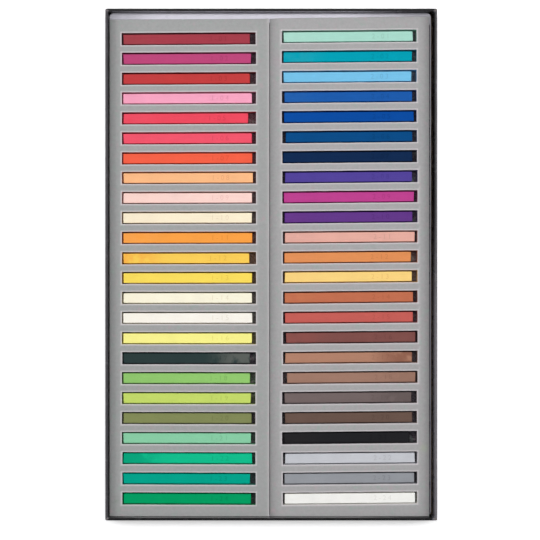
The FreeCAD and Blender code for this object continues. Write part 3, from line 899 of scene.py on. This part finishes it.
@dataclass
class SlottedSheet:
    """The slotted foam sheet of one insert, its upper layer lapping over the liner's lip and ledge."""

    side: Side
    layout: SlotLayout
    finish: GreyFoam
    lap: float = 1.2 * MM
    relief: float = 2.2 * MM
    seated_length: float = 351.0 * MM
    support: float = 0.55 * MM
    far_support: float = 1.35 * MM
    rounding: float = 0.32 * MM
    wave: float = 0.12 * MM
    wall_lean: float = 0.42 * MM
    swell: float = 0.16 * MM
    seam_step: float = 1.5 * MM
    seam_reach: float = 7.5 * MM
    outer_sag: float = 0.3 * MM
    outer_reach: float = 5.0 * MM
    wall_shadow_reach: float = 8.0 * MM
    to_wall: float = 0.22 * MM
    bright_reach: float = 2.0 * MM
    dust_reach: float = 0.2 * MM

    EDGE_HIGHLIGHT = "edge_highlight"
    SHADE_ATTRIBUTE = "painted_foam_shade"
    PIGMENT = "pigment"
    DUSTING = "dusting"
    SEAM_STEPS = (0.5 * MM, 1.4 * MM, 2.8 * MM, 4.6 * MM, 6.6 * MM)
    OUTER_STEPS = (0.6 * MM, 1.7 * MM, 3.4 * MM, 5.2 * MM)
    PARTS_ALONG = 12
    NEAR_HIGHLIGHT = 0.7
    # Strength of the painted shade by the wall and at the seam, for each sheet.
    WALL_SOIL = {Side.LEFT: 0.6, Side.RIGHT: 1.0}
    SEAM_SHADOW = {Side.LEFT: 0.0, Side.RIGHT: 1.0}
    SEAM_BRIGHT = {Side.LEFT: 0.5, Side.RIGHT: 0.0}
    SEAM_LIFT = {Side.LEFT: 0.35, Side.RIGHT: -1.0}
    WAVES_PER_METRE = 190
    SWELLS_PER_METRE = 42
    SIDEWAYS_SHARE = 0.4
    WALL_SHADE = 0.85
    EDGE_DUST = 0.15

    def __post_init__(self) -> None:
        """Read where the sheet lies from the frame."""
        low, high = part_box(self.side.value + "_foam_sheet")
        self.low = low
        self.high = high
        self.front = low.y + self.relief
        self.back = low.y + self.seated_length
        self.slot_left = low.x + self.layout.margin
        self.slot_right = self.slot_left + self.layout.slot_length
        self.slot_middle = (self.slot_left + self.slot_right) / 2
        self.middle = slots_middle(self.side)
        self.lying = False
        self.seat_left = low.x + (self.layout.outer_lap if self.side is Side.LEFT else 0.0)
        self.seat_right = high.x - (self.layout.outer_lap if self.side is Side.RIGHT else 0.0)
        self.slope = math.tan(math.radians(self.layout.turn))

    def from_seam(self, point: Vector) -> float:
        """How far a point lies from the seam between the inserts."""
        return self.high.x - point.x if self.side is Side.LEFT else point.x - self.low.x

    def from_wall(self, point: Vector) -> float:
        """How far a point lies from the sheet's outer side."""
        return point.x - self.low.x if self.side is Side.LEFT else self.high.x - point.x

    def near_seam(self, point: Vector) -> float:
        """1 at the seam, falling to 0 away from it."""
        return 1 - ease(self.from_seam(point) / self.seam_reach)

    def row_at(self, point: Vector) -> int:
        """The row nearest to a point."""
        return self.layout.nearest_row(point.y - self.low.y)

    def across_lines(self) -> List[float]:
        """The places across the sheet where its mesh has a line."""
        near_left, near_right = (self.OUTER_STEPS, self.SEAM_STEPS)
        if self.side is Side.RIGHT:
            near_left, near_right = near_right, near_left
        along = [self.slot_left + self.layout.slot_length * part / self.PARTS_ALONG
                 for part in range(self.PARTS_ALONG + 1)]
        before, after = self.slot_left - self.far_support, self.slot_right + self.far_support
        left = [self.seat_left + step for step in near_left if self.seat_left + step < before]
        right = [self.seat_right - step for step in near_right if self.seat_right - step > after]
        return sorted([self.seat_left, self.seat_right, before, after, self.slot_left - self.support,
                       self.slot_right + self.support] + left + right + along)

    def along_lines(self) -> List[float]:
        """The places along the sheet where its mesh has a line."""
        lines = [self.front, self.front + self.support, self.back - self.support, self.back]
        for row in range(self.layout.rows):
            middle = self.low.y + self.layout.centre_y(row)
            for reach in (0.0, self.support, self.far_support):
                lines += [middle - self.layout.slot_width / 2 - reach,
                          middle + self.layout.slot_width / 2 + reach]
        return sorted(lines)

    def row_distance(self, point: Vector) -> float:
        """How far a point lies outside the nearest slot, also once the sheet lies down; negative inside."""
        x, y = point.x, point.y - self.low.y
        if self.lying:
            y -= self.out_of_line(point)
            quirk = self.layout.quirk(self.layout.nearest_row(y))
            x, y = x - self.off_plan(x, quirk), y - quirk.back
        from_row = abs(y - self.layout.centre_y(self.layout.nearest_row(y)))
        over_x = abs(x - self.slot_middle) - self.layout.slot_length / 2
        return max(over_x, from_row - self.layout.slot_width / 2)

    def out_of_line(self, point: Vector) -> float:
        """How far back a point lies because its slot runs out of line and the bars fan out."""
        return self.slope * (point.x - self.slot_middle) + self.layout.spread(point, self.middle)

    def off_plan(self, x: float, quirk: RowQuirk) -> float:
        """How far a point of a row lies to the right of its planned place."""
        share = min(max((x - self.slot_left) / self.layout.slot_length, 0.0), 1.0)
        return quirk.left_end * (1 - share) + quirk.right_end * share

    def lie(self, point: Vector) -> Vector:
        """How a point of the flat, straight sheet moves as the foam lies in the tray."""
        top = (point.z - self.low.z) / (self.high.z - self.low.z)
        across = self.slot_left - 2 * self.support < point.x < self.slot_right + 2 * self.support
        along = self.front + 2 * self.support < point.y < self.back - 2 * self.support
        here = Vector((point.x, point.y, point.z))
        ripple = self.wave * noise.noise(here * self.WAVES_PER_METRE)
        rise = self.swell * noise.noise(here * self.SWELLS_PER_METRE)
        lift = self.SEAM_LIFT[self.side] * self.seam_step * self.near_seam(point)
        sag = -self.outer_sag * (1 - ease(self.from_wall(point) / self.outer_reach))
        aside, back = 0.0, 0.0
        if across and along:
            quirk = self.layout.quirk(self.row_at(point))
            aside = self.off_plan(point.x, quirk)
            back = self.out_of_line(point) + quirk.back
        back += self.lean(point, top)
        return Vector((aside + (self.SIDEWAYS_SHARE * ripple if across else 0.0),
                       back + (ripple if along else 0.0), top * (rise + lift + sag)))

    def lean(self, point: Vector, top: float) -> float:
        """How far a point on a slot's long wall leans into the slot; top is its height, 0 to 1."""
        on_wall = abs(self.row_distance(point)) < self.support / 4
        if not on_wall or not self.slot_left < point.x < self.slot_right:
            return 0.0
        row_y = self.low.y + self.layout.centre_y(self.row_at(point))
        return self.wall_lean * (1 - top) * math.copysign(1, row_y - point.y)

    def build(self) -> bpy.types.Object:
        """Model the sheet.

        Returns:
            The finished piece.
        """
        columns, rows = self.across_lines(), self.along_lines()
        deselect_all()
        bpy.ops.mesh.primitive_grid_add(x_subdivisions=len(columns) - 1, y_subdivisions=len(rows) - 1,
                                        size=2.0, location=(0, 0, 0))
        piece = rename(bpy.context.object, self.side.value + "_slotted_sheet")
        for point in piece.data.vertices:
            column = round((point.co.x + 1) / 2 * (len(columns) - 1))
            row = round((point.co.y + 1) / 2 * (len(rows) - 1))
            point.co = (columns[column], rows[row], self.high.z)
        with Editing(piece) as edit:
            half_width = self.layout.slot_width / 2
            middles = [self.low.y + self.layout.centre_y(row) for row in range(self.layout.rows)]
            edit.faces(lambda centre, _: self.slot_left < centre.x < self.slot_right
                       and any(abs(centre.y - middle) < half_width for middle in middles))
            bpy.ops.mesh.delete(type="FACE")
        apply_modifier(piece, "SOLIDIFY", thickness=self.high.z - self.low.z, offset=-1.0)
        with Editing(piece) as edit:
            edit.cut((0, 0, self.high.z - self.lap), (0, 0, 1))
            outwards = -1 if self.side is Side.LEFT else 1
            seat = self.seat_left if self.side is Side.LEFT else self.seat_right
            self.extrude_lap(edit, Vector((outwards, 0, 0)), seat, self.layout.outer_lap)
            self.extrude_lap(edit, Vector((0, -1, 0)), self.front, self.relief + self.to_wall)
            self.extrude_lap(edit, Vector((0, 1, 0)), self.back,
                             self.high.y - self.layout.back_rise - self.back)
        move_points(piece, self.slant_back)
        move_points(piece, self.lie)
        self.lying = True
        soften_edges(piece, self.rounding)
        smooth(piece)
        self.store_painted_light_and_dust(piece)
        dress(piece, self.finish.material())
        return piece

    def extrude_lap(self, edit: Editing, outwards: Vector, seat: float, reach: float) -> None:
        """Draw the upper layer out over the liner's lip on one side.

        Args:
            edit: The sheet in edit mode.
            outwards: The side's direction.
            seat: Where the side's wall stands along that axis.
            reach: How far the layer laps over.
        """
        axis = 0 if outwards.x else 1
        bpy.ops.mesh.select_all(action="DESELECT")
        edit.faces(lambda centre, normal: normal.dot(outwards) > 0.9 and centre.z > self.high.z - self.lap
                   and abs(centre[axis] - seat) < self.support / 2)
        bpy.ops.mesh.extrude_region_move(TRANSFORM_OT_translate={"value": outwards * reach})

    def slant_back(self, point: Vector) -> Vector:
        """Slant the back edge, which was cut askew."""
        if point.y < (self.back + self.high.y) / 2:
            return Vector((0, 0, 0))
        share = (point.x - self.low.x) / (self.high.x - self.low.x)
        return Vector((0, self.layout.back_rise * share, 0))

    def store_painted_light_and_dust(self, piece: bpy.types.Object) -> None:
        """Store each upper point's painted highlight by the cut edges, each point's painted shade, and the
        sticks' dust.
        """
        points, highlights, shade_values = store(piece, (self.EDGE_HIGHLIGHT, "FLOAT"), (self.SHADE_ATTRIBUTE, "FLOAT"))
        for point, highlight, shaded in zip(points, highlights, shade_values):
            upper = point.co.z > self.high.z - 3 * self.rounding - self.seam_step
            highlight.value = self.edge_highlight_at(point.co) if upper else 0.0
            shaded.value = self.painted_foam_shade(point.co)
        dust_by_row(piece, self.side, self.dusting, self.WALL_SHADE)

    def edge_highlight_at(self, point: Vector) -> float:
        """How bright a point is painted: a painted highlight, most at the slots' edges, and at the left
        sheet's seam.
        """
        distance = abs(self.row_distance(point))
        near = 1 - ease(distance / self.support) * (1 - self.NEAR_HIGHLIGHT)
        far = self.NEAR_HIGHLIGHT * (1 - ease((distance - self.support) / (self.far_support - self.support)))
        by_seam = self.SEAM_BRIGHT[self.side] * (1 - ease(self.from_seam(point) / self.bright_reach))
        return max(near if distance < self.support else far, by_seam)

    def painted_foam_shade(self, point: Vector) -> float:
        """How much painted shade a point gets: by the tray's wall, along the back edge and at the right
        sheet's seam.
        """
        share = (point.x - self.low.x) / (self.high.x - self.low.x)
        from_back = self.high.y - self.layout.back_rise * (1 - share) - point.y
        return max(self.SEAM_SHADOW[self.side] * self.near_seam(point),
                   self.WALL_SOIL[self.side] * (1 - ease(self.from_wall(point) / self.wall_shadow_reach)),
                   1.0 if from_back < self.rounding * 0.7 else 0.0)

    def dusting(self, point: Vector) -> float:
        """How much pigment dust a point holds: much on the slots' walls, none on the open face."""
        if self.row_distance(point) > self.dust_reach:
            return 0.0
        return self.EDGE_DUST if point.z > self.high.z - self.rounding else 1.0


@dataclass
class FoamPad:
    """The plain foam pad under one slotted sheet."""

    side: Side
    finish: GreyFoam
    corner: float = 3.0 * MM
    rounding: float = 0.3 * MM
    settle_in: float = 0.05 * MM
    dusted: float = 0.15
    shade: float = 0.45
    end_zone: float = 4.0 * MM
    dents_per_metre: float = 60.0
    corner_segments: int = 6

    def build(self) -> bpy.types.Object:
        """Model the pad: a slab with round corners and softened edges.

        Returns:
            The finished piece.
        """
        low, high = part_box(self.side.value + "_foam_pad")
        layout = LAYOUTS[self.side]
        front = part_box(self.side.value + "_foam_sheet")[0].y
        middle = slots_middle(self.side)
        half_slot = layout.slot_length / 2
        piece = box_piece(self.side.value + "_under_pad", low, high)
        with Editing(piece) as edit:
            edit.edges(lambda one, other: abs(one.z - other.z) > self.rounding)
            bpy.ops.mesh.bevel(offset=self.corner, segments=self.corner_segments, affect="EDGES")
            for row in range(layout.rows):
                for sign in (-1, 1):
                    edit.cut((0, front + layout.centre_y(row) + sign * layout.slot_width / 2, 0), (0, 1, 0))
            for sign in (-1, 1):
                for zones in (1, 2):
                    edit.cut((middle.x + sign * (half_slot - zones * self.end_zone), 0, 0), (1, 0, 0))
        soften_edges(piece, self.rounding, 2, 50.0)
        move_points(piece, lambda point: self.dent(point) if point.z > high.z - self.rounding / 2
                    else Vector((0, 0, 0)))
        smooth(piece)
        reach = half_slot - 1.5 * self.end_zone
        dust_by_row(piece, self.side, lambda point: 1.0 if abs(point.x - middle.x) < reach else self.dusted,
                    self.shade)
        dress(piece, self.finish.material())
        return piece

    def dent(self, point: Vector) -> Vector:
        """How far a point of the pad's top has settled."""
        return Vector((0, 0, -self.settle_in * abs(noise.noise(point * self.dents_per_metre))))


@dataclass
class FoamInsert:
    """One foam insert: a slotted sheet glued on a plain pad."""

    side: Side
    pad_colour: Colour = srgb(84, 78, 86)
    pad_speckle: float = 1.1
    TOPS = {Side.LEFT: srgb(166, 167, 167), Side.RIGHT: srgb(172, 171, 172)}
    SMUDGES = {
        Side.LEFT: (Smudge((-0.1105, -0.1690, 0.013), 6.0 * MM, srgb(120, 150, 128), 0.35),
                    Smudge((-0.1090, -0.1755, 0.013), 5.0 * MM, srgb(128, 160, 138), 0.35)),
        Side.RIGHT: (Smudge((0.1090, -0.1310, 0.013), 7.0 * MM, srgb(168, 184, 140), 0.4),
                     Smudge((0.0040, 0.1450, 0.013), 8.0 * MM, srgb(190, 160, 175), 0.25)),
    }

    def build(self) -> None:
        """Model both layers and fix them to the insert's body."""
        name = self.side.value
        skin = GreyFoam(name + "_sheet_foam", self.TOPS[self.side], smudges=self.SMUDGES[self.side])
        core = GreyFoam(name + "_pad_foam", self.pad_colour, speckle=self.pad_speckle)
        sheet = SlottedSheet(self.side, LAYOUTS[self.side], skin).build()
        mount(sheet, name + "_insert", name + "_foam", name + "_foam_sheet")
        pad = FoamPad(self.side, core).build()
        mount(pad, name + "_insert", name + "_pad_foam", name + "_foam_pad")


@dataclass
class PlasticLiner:
    """The thin formed tray between board and foam, its lip a wide flat ledge at the back."""

    finish: GlossPlastic = GlossPlastic()
    sheet: float = 0.5 * MM
    lean: float = 1.0 * MM
    corner: float = 3.4 * MM
    hollow_length: float = 353.2 * MM
    floor_round: float = 0.8 * MM
    lip_round: float = 0.16 * MM
    to_wall: float = 0.6 * MM
    floor_segments: int = 4
    CORNER_SEGMENTS = 8

    def build(self) -> None:
        """Model the liner: lean a box's walls, round its corners, open it, thicken it, add the ledge."""
        low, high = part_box("liner_tray")
        high = high + Vector((0, self.to_wall, 0))
        back = Vector((high.x, low.y + self.hollow_length, high.z))
        middle = (low + back) / 2
        piece = self.rounded_box("formed_liner", low, back, self.corner)
        with Editing(piece) as edit:
            edit.faces(lambda centre, normal: normal.z > 0.9)
            bpy.ops.mesh.delete(type="ONLY_FACE")
        move_points(piece, lambda point: self.lean_in(point, middle, low, back))
        with Editing(piece) as edit:
            edit.edges(lambda one, other: max(one.z, other.z) < low.z + self.sheet / 2)
            bpy.ops.mesh.bevel(offset=self.floor_round, segments=self.floor_segments, affect="EDGES")
        apply_modifier(piece, "SOLIDIFY", thickness=self.sheet, offset=-1.0, use_even_offset=True)
        ledge = self.ledge(low, high, back)
        apply_modifier(piece, "BOOLEAN", operation="UNION", object=ledge, solver="EXACT")
        bpy.data.objects.remove(ledge)
        soften_edges(piece, self.lip_round, 2, 60.0)
        smooth(piece, 45.0)
        dress(piece, self.finish.material())
        mount(piece, "liner", "liner_plastic", "liner_tray")

    @classmethod
    def rounded_box(cls, name: str, low: Vector, high: Vector, corner: float) -> bpy.types.Object:
        """A box with round upright corners."""
        piece = box_piece(name, low, high)
        with Editing(piece) as edit:
            edit.edges(lambda one, other: abs(one.z - other.z) > (high.z - low.z) / 2)
            bpy.ops.mesh.bevel(offset=corner, segments=cls.CORNER_SEGMENTS, affect="EDGES")
        return piece

    def ledge(self, low: Vector, high: Vector, back: Vector) -> bpy.types.Object:
        """The flat ledge behind the liner's hollow, reaching half way into its walls.

        Args:
            low: The liner's lowest corner.
            high: Its highest corner, ledge included.
            back: The highest corner of its hollow.

        Returns:
            The ledge, as a plate of its own.
        """
        start = Vector((low.x, back.y - 2 * self.corner, high.z - self.sheet))
        plate = self.rounded_box("liner_ledge", start, high, self.corner)
        overlap = Vector((self.sheet / 2, self.sheet / 2, -self.sheet))
        mouth = self.rounded_box("liner_mouth", Vector((low.x, low.y, start.z)) + overlap, back - overlap,
                                 self.corner - self.sheet / 2)
        apply_modifier(plate, "BOOLEAN", operation="DIFFERENCE", object=mouth, solver="EXACT")
        bpy.data.objects.remove(mouth)
        return plate

    def lean_in(self, point: Vector, middle: Vector, low: Vector, high: Vector) -> Vector:
        """How far a point in the lower half moves inwards, so that the walls lean."""
        if point.z > (low.z + high.z) / 2:
            return Vector((0, 0, 0))
        share_x = 1 - self.lean / (high.x - middle.x)
        share_y = 1 - self.lean / (high.y - middle.y)
        return Vector(((point.x - middle.x) * (share_x - 1), (point.y - middle.y) * (share_y - 1), 0))


@dataclass
class CoveredTray:
    """The board tray and the papers on it, shown by the frame's own solids."""

    cover: Leatherette = Leatherette()
    board: Chipboard = Chipboard()
    tape: PlainPaper = PlainPaper("kraft_tape", srgb(176, 142, 98))
    base: PlainPaper = PlainPaper("black_base_paper", srgb(34, 33, 35))
    floor: PlainPaper = PlainPaper("black_floor_paper", srgb(34, 33, 35))

    def build(self) -> None:
        """Dress each solid of the tray."""
        finishes = {
            "base_board": self.board, "wall_boards": self.board, "corner_stays": self.tape,
            "cover_wrap": self.cover, "base_paper": self.base, "floor_paper": self.floor,
        }
        for node, finish in finishes.items():
            dress(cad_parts[node], finish.material())
            log.info("%s is dressed in %s", node, finish.name)


@dataclass
class StickMould:
    """The plain pressed bar that every stick starts from."""

    length: float
    section: float
    edge: float = 0.35 * MM
    flat: float = 0.62 * MM
    pieces: int = 10

    def build(self) -> bpy.types.Mesh:
        """Model the bar, centred on the origin, with eased edges.

        Returns:
            Its mesh.
        """
        reach = Vector((self.length / 2, self.section / 2, self.section / 2))
        piece = box_piece("stick_mould", -reach, reach)
        with Editing(piece) as edit:
            for sign in (-1, 1):
                edit.cut((0, sign * (reach.y - self.flat), 0), (0, 1, 0))
                edit.cut((0, 0, sign * (reach.z - self.flat)), (0, 0, 1))
                edit.cut((sign * (reach.x - self.flat), 0, 0), (1, 0, 0))
                edit.cut((sign * (reach.x - 3 * self.flat), 0, 0), (1, 0, 0))
            for part in range(1, self.pieces):
                edit.cut((self.length * (part / self.pieces - 0.5), 0, 0), (1, 0, 0))
        soften_edges(piece, self.edge, 3, 60.0)
        mesh = piece.data
        bpy.data.objects.remove(piece)
        return mesh


@dataclass
class PastelStick:
    """One square pastel stick with its own wear, its place in the tray pressed into its top."""

    number: int
    node: str
    side: Side
    wear: float = 0.07 * MM
    chip: float = 0.55 * MM
    chip_reach: float = 1.6 * MM
    digit_height: float = 3.5 * MM
    stamp_depth: float = 0.16 * MM
    stamp_share: float = 0.75
    smear_strength: float = 0.03
    left_reach: float = 0.25 * MM
    ROWS = 24
    TEXT_SHARE = 0.7
    LETTER_SPACING = 1.5
    CURVE_STEPS = 3
    OUTER_SHARE = 0.9
    RUBS_PER_METRE = 170
    DRIFT_RANGE = 10
    SEED_STEP = 0.37
    SMEARS = {
        12: (srgb(254, 159, 70), 0.5, -1),
        17: (srgb(214, 208, 196), 0.13, 1),
        22: (srgb(0, 140, 108), 0.5, -1),
        40: (srgb(194, 94, 87), 0.15, -1),
        41: (srgb(112, 62, 50), 0.55, 1),
        42: (srgb(110, 80, 70), 0.22, 1),
        43: (srgb(70, 60, 58), 0.3, 1),
    }

    def __post_init__(self) -> None:
        """Read the stick's place, length and turn from the frame."""
        low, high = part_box(self.node)
        self.centre = (low + high) / 2
        self.section = high.z - low.z
        self.turn = math.radians(LAYOUTS[self.side].turn)
        spread = high.x - low.x
        self.length = (spread - self.section * math.sin(self.turn)) / math.cos(self.turn) + self.left_reach
        self.centre.x -= self.left_reach / 2
        self.colour = stick_colour(self.node)
        self.rng = random.Random(self.number)

    def build(self, mould: StickMould, bar: bpy.types.Mesh) -> None:
        """Copy the bar, stretch, wear and stamp it, and lay it in its slot.

        Args:
            mould: What the bar was made from.
            bar: The bar's mesh.
        """
        piece = bpy.data.objects.new("stick_%02d" % self.number, bar.copy())
        bpy.context.scene.collection.objects.link(piece)
        rename(piece, piece.name)
        change = (self.length - mould.length) / 2
        straight = mould.length / 2 - 4 * mould.flat
        move_points(piece, lambda point: Vector((change * min(max(point.x / straight, -1), 1), 0, 0)))
        self.wear_down(piece)
        self.stamp(piece)
        smooth(piece, 35.0)
        piece.data.transform(Matrix.Translation(self.centre) @ Matrix.Rotation(self.turn, 4, "Z"))
        layout, middle = LAYOUTS[self.side], slots_middle(self.side)
        off_plan = layout.quirk((self.ROWS - self.number) % self.ROWS).back
        move_points(piece, lambda point: Vector((0, off_plan + layout.spread(point, middle), 0)))
        colours = stick_colours(self.side)[::-1]
        neighbour = colours[(self.number - 2) % self.ROWS]
        smear, strength, end = self.SMEARS.get(self.number, (neighbour, self.smear_strength, -1))
        finish = PressedPigment("pigment_%02d" % self.number, self.colour, tuple(self.centre), self.turn,
                                self.section / 2, self.number * self.SEED_STEP, smear, strength, end)
        dress(piece, finish.material())
        mount(piece, "pastel_%02d" % self.number, "pastel_" + colour_name(self.node), self.node)

    def wear_down(self, piece: bpy.types.Object) -> None:
        """Rub the bar uneven and knock its corners off, always inwards."""
        half = Vector((self.length / 2, self.section / 2, self.section / 2))
        corners = [(Vector((half.x * x, half.y * y, half.z * z)), self.rng.random() ** 2 * self.chip)
                   for x in (-1, 1) for y in (-1, 1) for z in (-1, 1)]
        drift = Vector((self.rng.random(), self.rng.random(), self.rng.random())) * self.DRIFT_RANGE

        def shift(point: Vector) -> Vector:
            """How far one point of the bar moves inwards."""
            inwards = Vector([-math.copysign(1, value) if abs(value) > reach * self.OUTER_SHARE else 0.0
                              for value, reach in zip(point, half)])
            rub = self.wear * (0.5 + 0.5 * noise.noise(point * self.RUBS_PER_METRE + drift))
            moved = inwards * rub
            for corner, depth in corners:
                near = 1 - ease((point - corner).length / self.chip_reach)
                moved = moved - corner.normalized() * depth * near
            return moved

        move_points(piece, shift)

    def stamp(self, piece: bpy.types.Object) -> None:
        """Press the stick's place into its top: its column, then its row from the back."""
        column, row = divmod(self.number - 1, self.ROWS)
        deselect_all()
        bpy.ops.object.text_add(location=(0, 0, 0))
        digits = bpy.context.object
        digits.data.body = "%d-%02d" % (column + 1, row + 1)
        digits.data.size = self.digit_height / self.TEXT_SHARE
        digits.data.space_character = self.LETTER_SPACING
        digits.data.align_x = "CENTER"
        digits.data.align_y = "CENTER"
        digits.data.extrude = self.stamp_depth
        digits.data.resolution_u = self.CURVE_STEPS
        bpy.ops.object.convert(target="MESH")
        digits = bpy.context.object
        place = Vector(((self.stamp_share - 0.5) * self.length, 0, self.section / 2 - self.wear))
        digits.data.transform(Matrix.Translation(place))
        apply_modifier(piece, "BOOLEAN", operation="DIFFERENCE", object=digits, solver="EXACT")
        bpy.data.objects.remove(digits)


@dataclass(frozen=True)
class Lamp:
    """A soft box that points at the middle of the tray."""

    name: str
    place: Tuple[float, float, float]
    size: Tuple[float, float]
    power: float

    def build(self) -> None:
        """Hang the lamp where only its light is seen."""
        light = bpy.data.lights.new(self.name, "AREA")
        light.shape = "RECTANGLE"
        light.size, light.size_y = self.size
        light.energy = self.power
        lamp = bpy.data.objects.new(self.name, light)
        lamp.location = self.place
        lamp.rotation_euler = (-Vector(self.place)).to_track_quat("-Z", "Y").to_euler()
        lamp.visible_camera = False
        bpy.context.scene.collection.objects.link(lamp)


@dataclass
class Studio:
    """Camera, floor and lights: seen from straight above on white, lit softly from above and behind."""

    eye: Vector = Vector((-0.86 * MM, -3.9 * MM, 1.1125))
    lens: float = 102.6
    sensor: float = 36.0
    nearest: float = 10.0 * MM
    floor_size: float = 12.0
    floor_colour: Colour = (0.94, 0.94, 0.95)
    near_floor: float = 0.5
    far_floor: float = 2.5
    ambient: float = 0.21
    glow: float = 0.47
    RAYS = ("Is Camera Ray", "Is Glossy Ray", "Is Transmission Ray")
    LAMPS = (
        Lamp("top_softbox", (0.0, 0.33, 1.55), (1.5, 0.4), 12.3),
        Lamp("left_softbox", (-1.2, 0.45, 1.15), (0.8, 0.5), 6.4),
        Lamp("right_softbox", (1.2, 0.45, 1.15), (0.8, 0.5), 6.4),
        Lamp("front_strip", (0.0, -1.5, 0.55), (0.42, 0.1), 0.9),
        Lamp("left_strip", (-1.5, 0.0, 0.5), (0.9, 0.1), 0.9),
        Lamp("right_strip", (1.5, 0.0, 0.5), (0.9, 0.1), 0.9),
    )

    def build(self) -> None:
        """Set up the whole studio."""
        bpy.context.scene.view_settings.view_transform = "Standard"
        self.add_camera()
        self.add_floor()
        self.light_world()
        for lamp in self.LAMPS:
            lamp.build()

    def add_camera(self) -> None:
        """Look straight down, with the back edge of the tray up."""
        camera = bpy.data.cameras.new("camera")
        camera.lens = self.lens
        camera.sensor_width = self.sensor
        camera.clip_start = self.nearest
        mounted = bpy.data.objects.new("camera", camera)
        mounted.location = self.eye
        bpy.context.scene.collection.objects.link(mounted)
        bpy.context.scene.camera = mounted

    def add_floor(self) -> None:
        """A wide white floor that keeps the tray's shadow."""
        deselect_all()
        bpy.ops.mesh.primitive_plane_add(size=self.floor_size, location=(0, 0, 0))
        floor = rename(bpy.context.object, "studio_floor")
        shader = Shader("white_floor")
        camera, glossy, through = (shader.add("ShaderNodeLightPath", {}, {}, ray) for ray in self.RAYS)
        centre = shader.add("ShaderNodeVectorMath", {"operation": "LENGTH"}, {0: shader.place()}, "Value")
        glow = self.glow + (1 - self.glow) * centre.rise(self.near_floor, self.far_floor)
        shader.set(Base_Color=self.floor_colour, Roughness=0.9, Specular_IOR_Level=0.1, Emission_Strength=1.0,
                   Emission_Color=shader.shade((1.0, 1.0, 1.0), glow * camera.most(glossy).most(through)))
        dress(floor, shader.material)

    def light_world(self) -> None:
        """White surroundings that light the tray only softly."""
        world = bpy.data.worlds.new("white_surroundings")
        bpy.context.scene.world = world
        world.use_nodes = True
        nodes, links = world.node_tree.nodes, world.node_tree.links
        background = next(node for node in nodes if node.type == "BACKGROUND")
        background.inputs["Color"].default_value = (1.0, 1.0, 1.0, 1.0)
        path = nodes.new("ShaderNodeLightPath")
        seen = path.outputs[self.RAYS[0]]
        for ray in self.RAYS[1:]:
            most = nodes.new("ShaderNodeMath")
            most.operation = "MAXIMUM"
            links.new(seen, most.inputs[0])
            links.new(path.outputs[ray], most.inputs[1])
            seen = most.outputs[0]
        strength = nodes.new("ShaderNodeMapRange")
        strength.inputs["To Min"].default_value = self.ambient
        strength.inputs["To Max"].default_value = 1.0
        links.new(seen, strength.inputs["Value"])
        links.new(strength.outputs["Result"], background.inputs["Strength"])


def main() -> None:
    """Build the studio and every piece, in order."""
    logging.basicConfig(level=logging.INFO, format="%(name)s: %(message)s")
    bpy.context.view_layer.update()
    Studio().build()
    CoveredTray().build()
    PlasticLiner().build()
    for side in Side:
        FoamInsert(side).build()
    mould = StickMould(length=93.0 * MM, section=7.0 * MM)
    bar = mould.build()
    for number, node in enumerate(stick_nodes(), start=1):
        side = Side.LEFT if number <= PastelStick.ROWS else Side.RIGHT
        PastelStick(number, node, side).build(mould, bar)
    bpy.data.meshes.remove(bar)


if __name__ == "__main__":
    main()
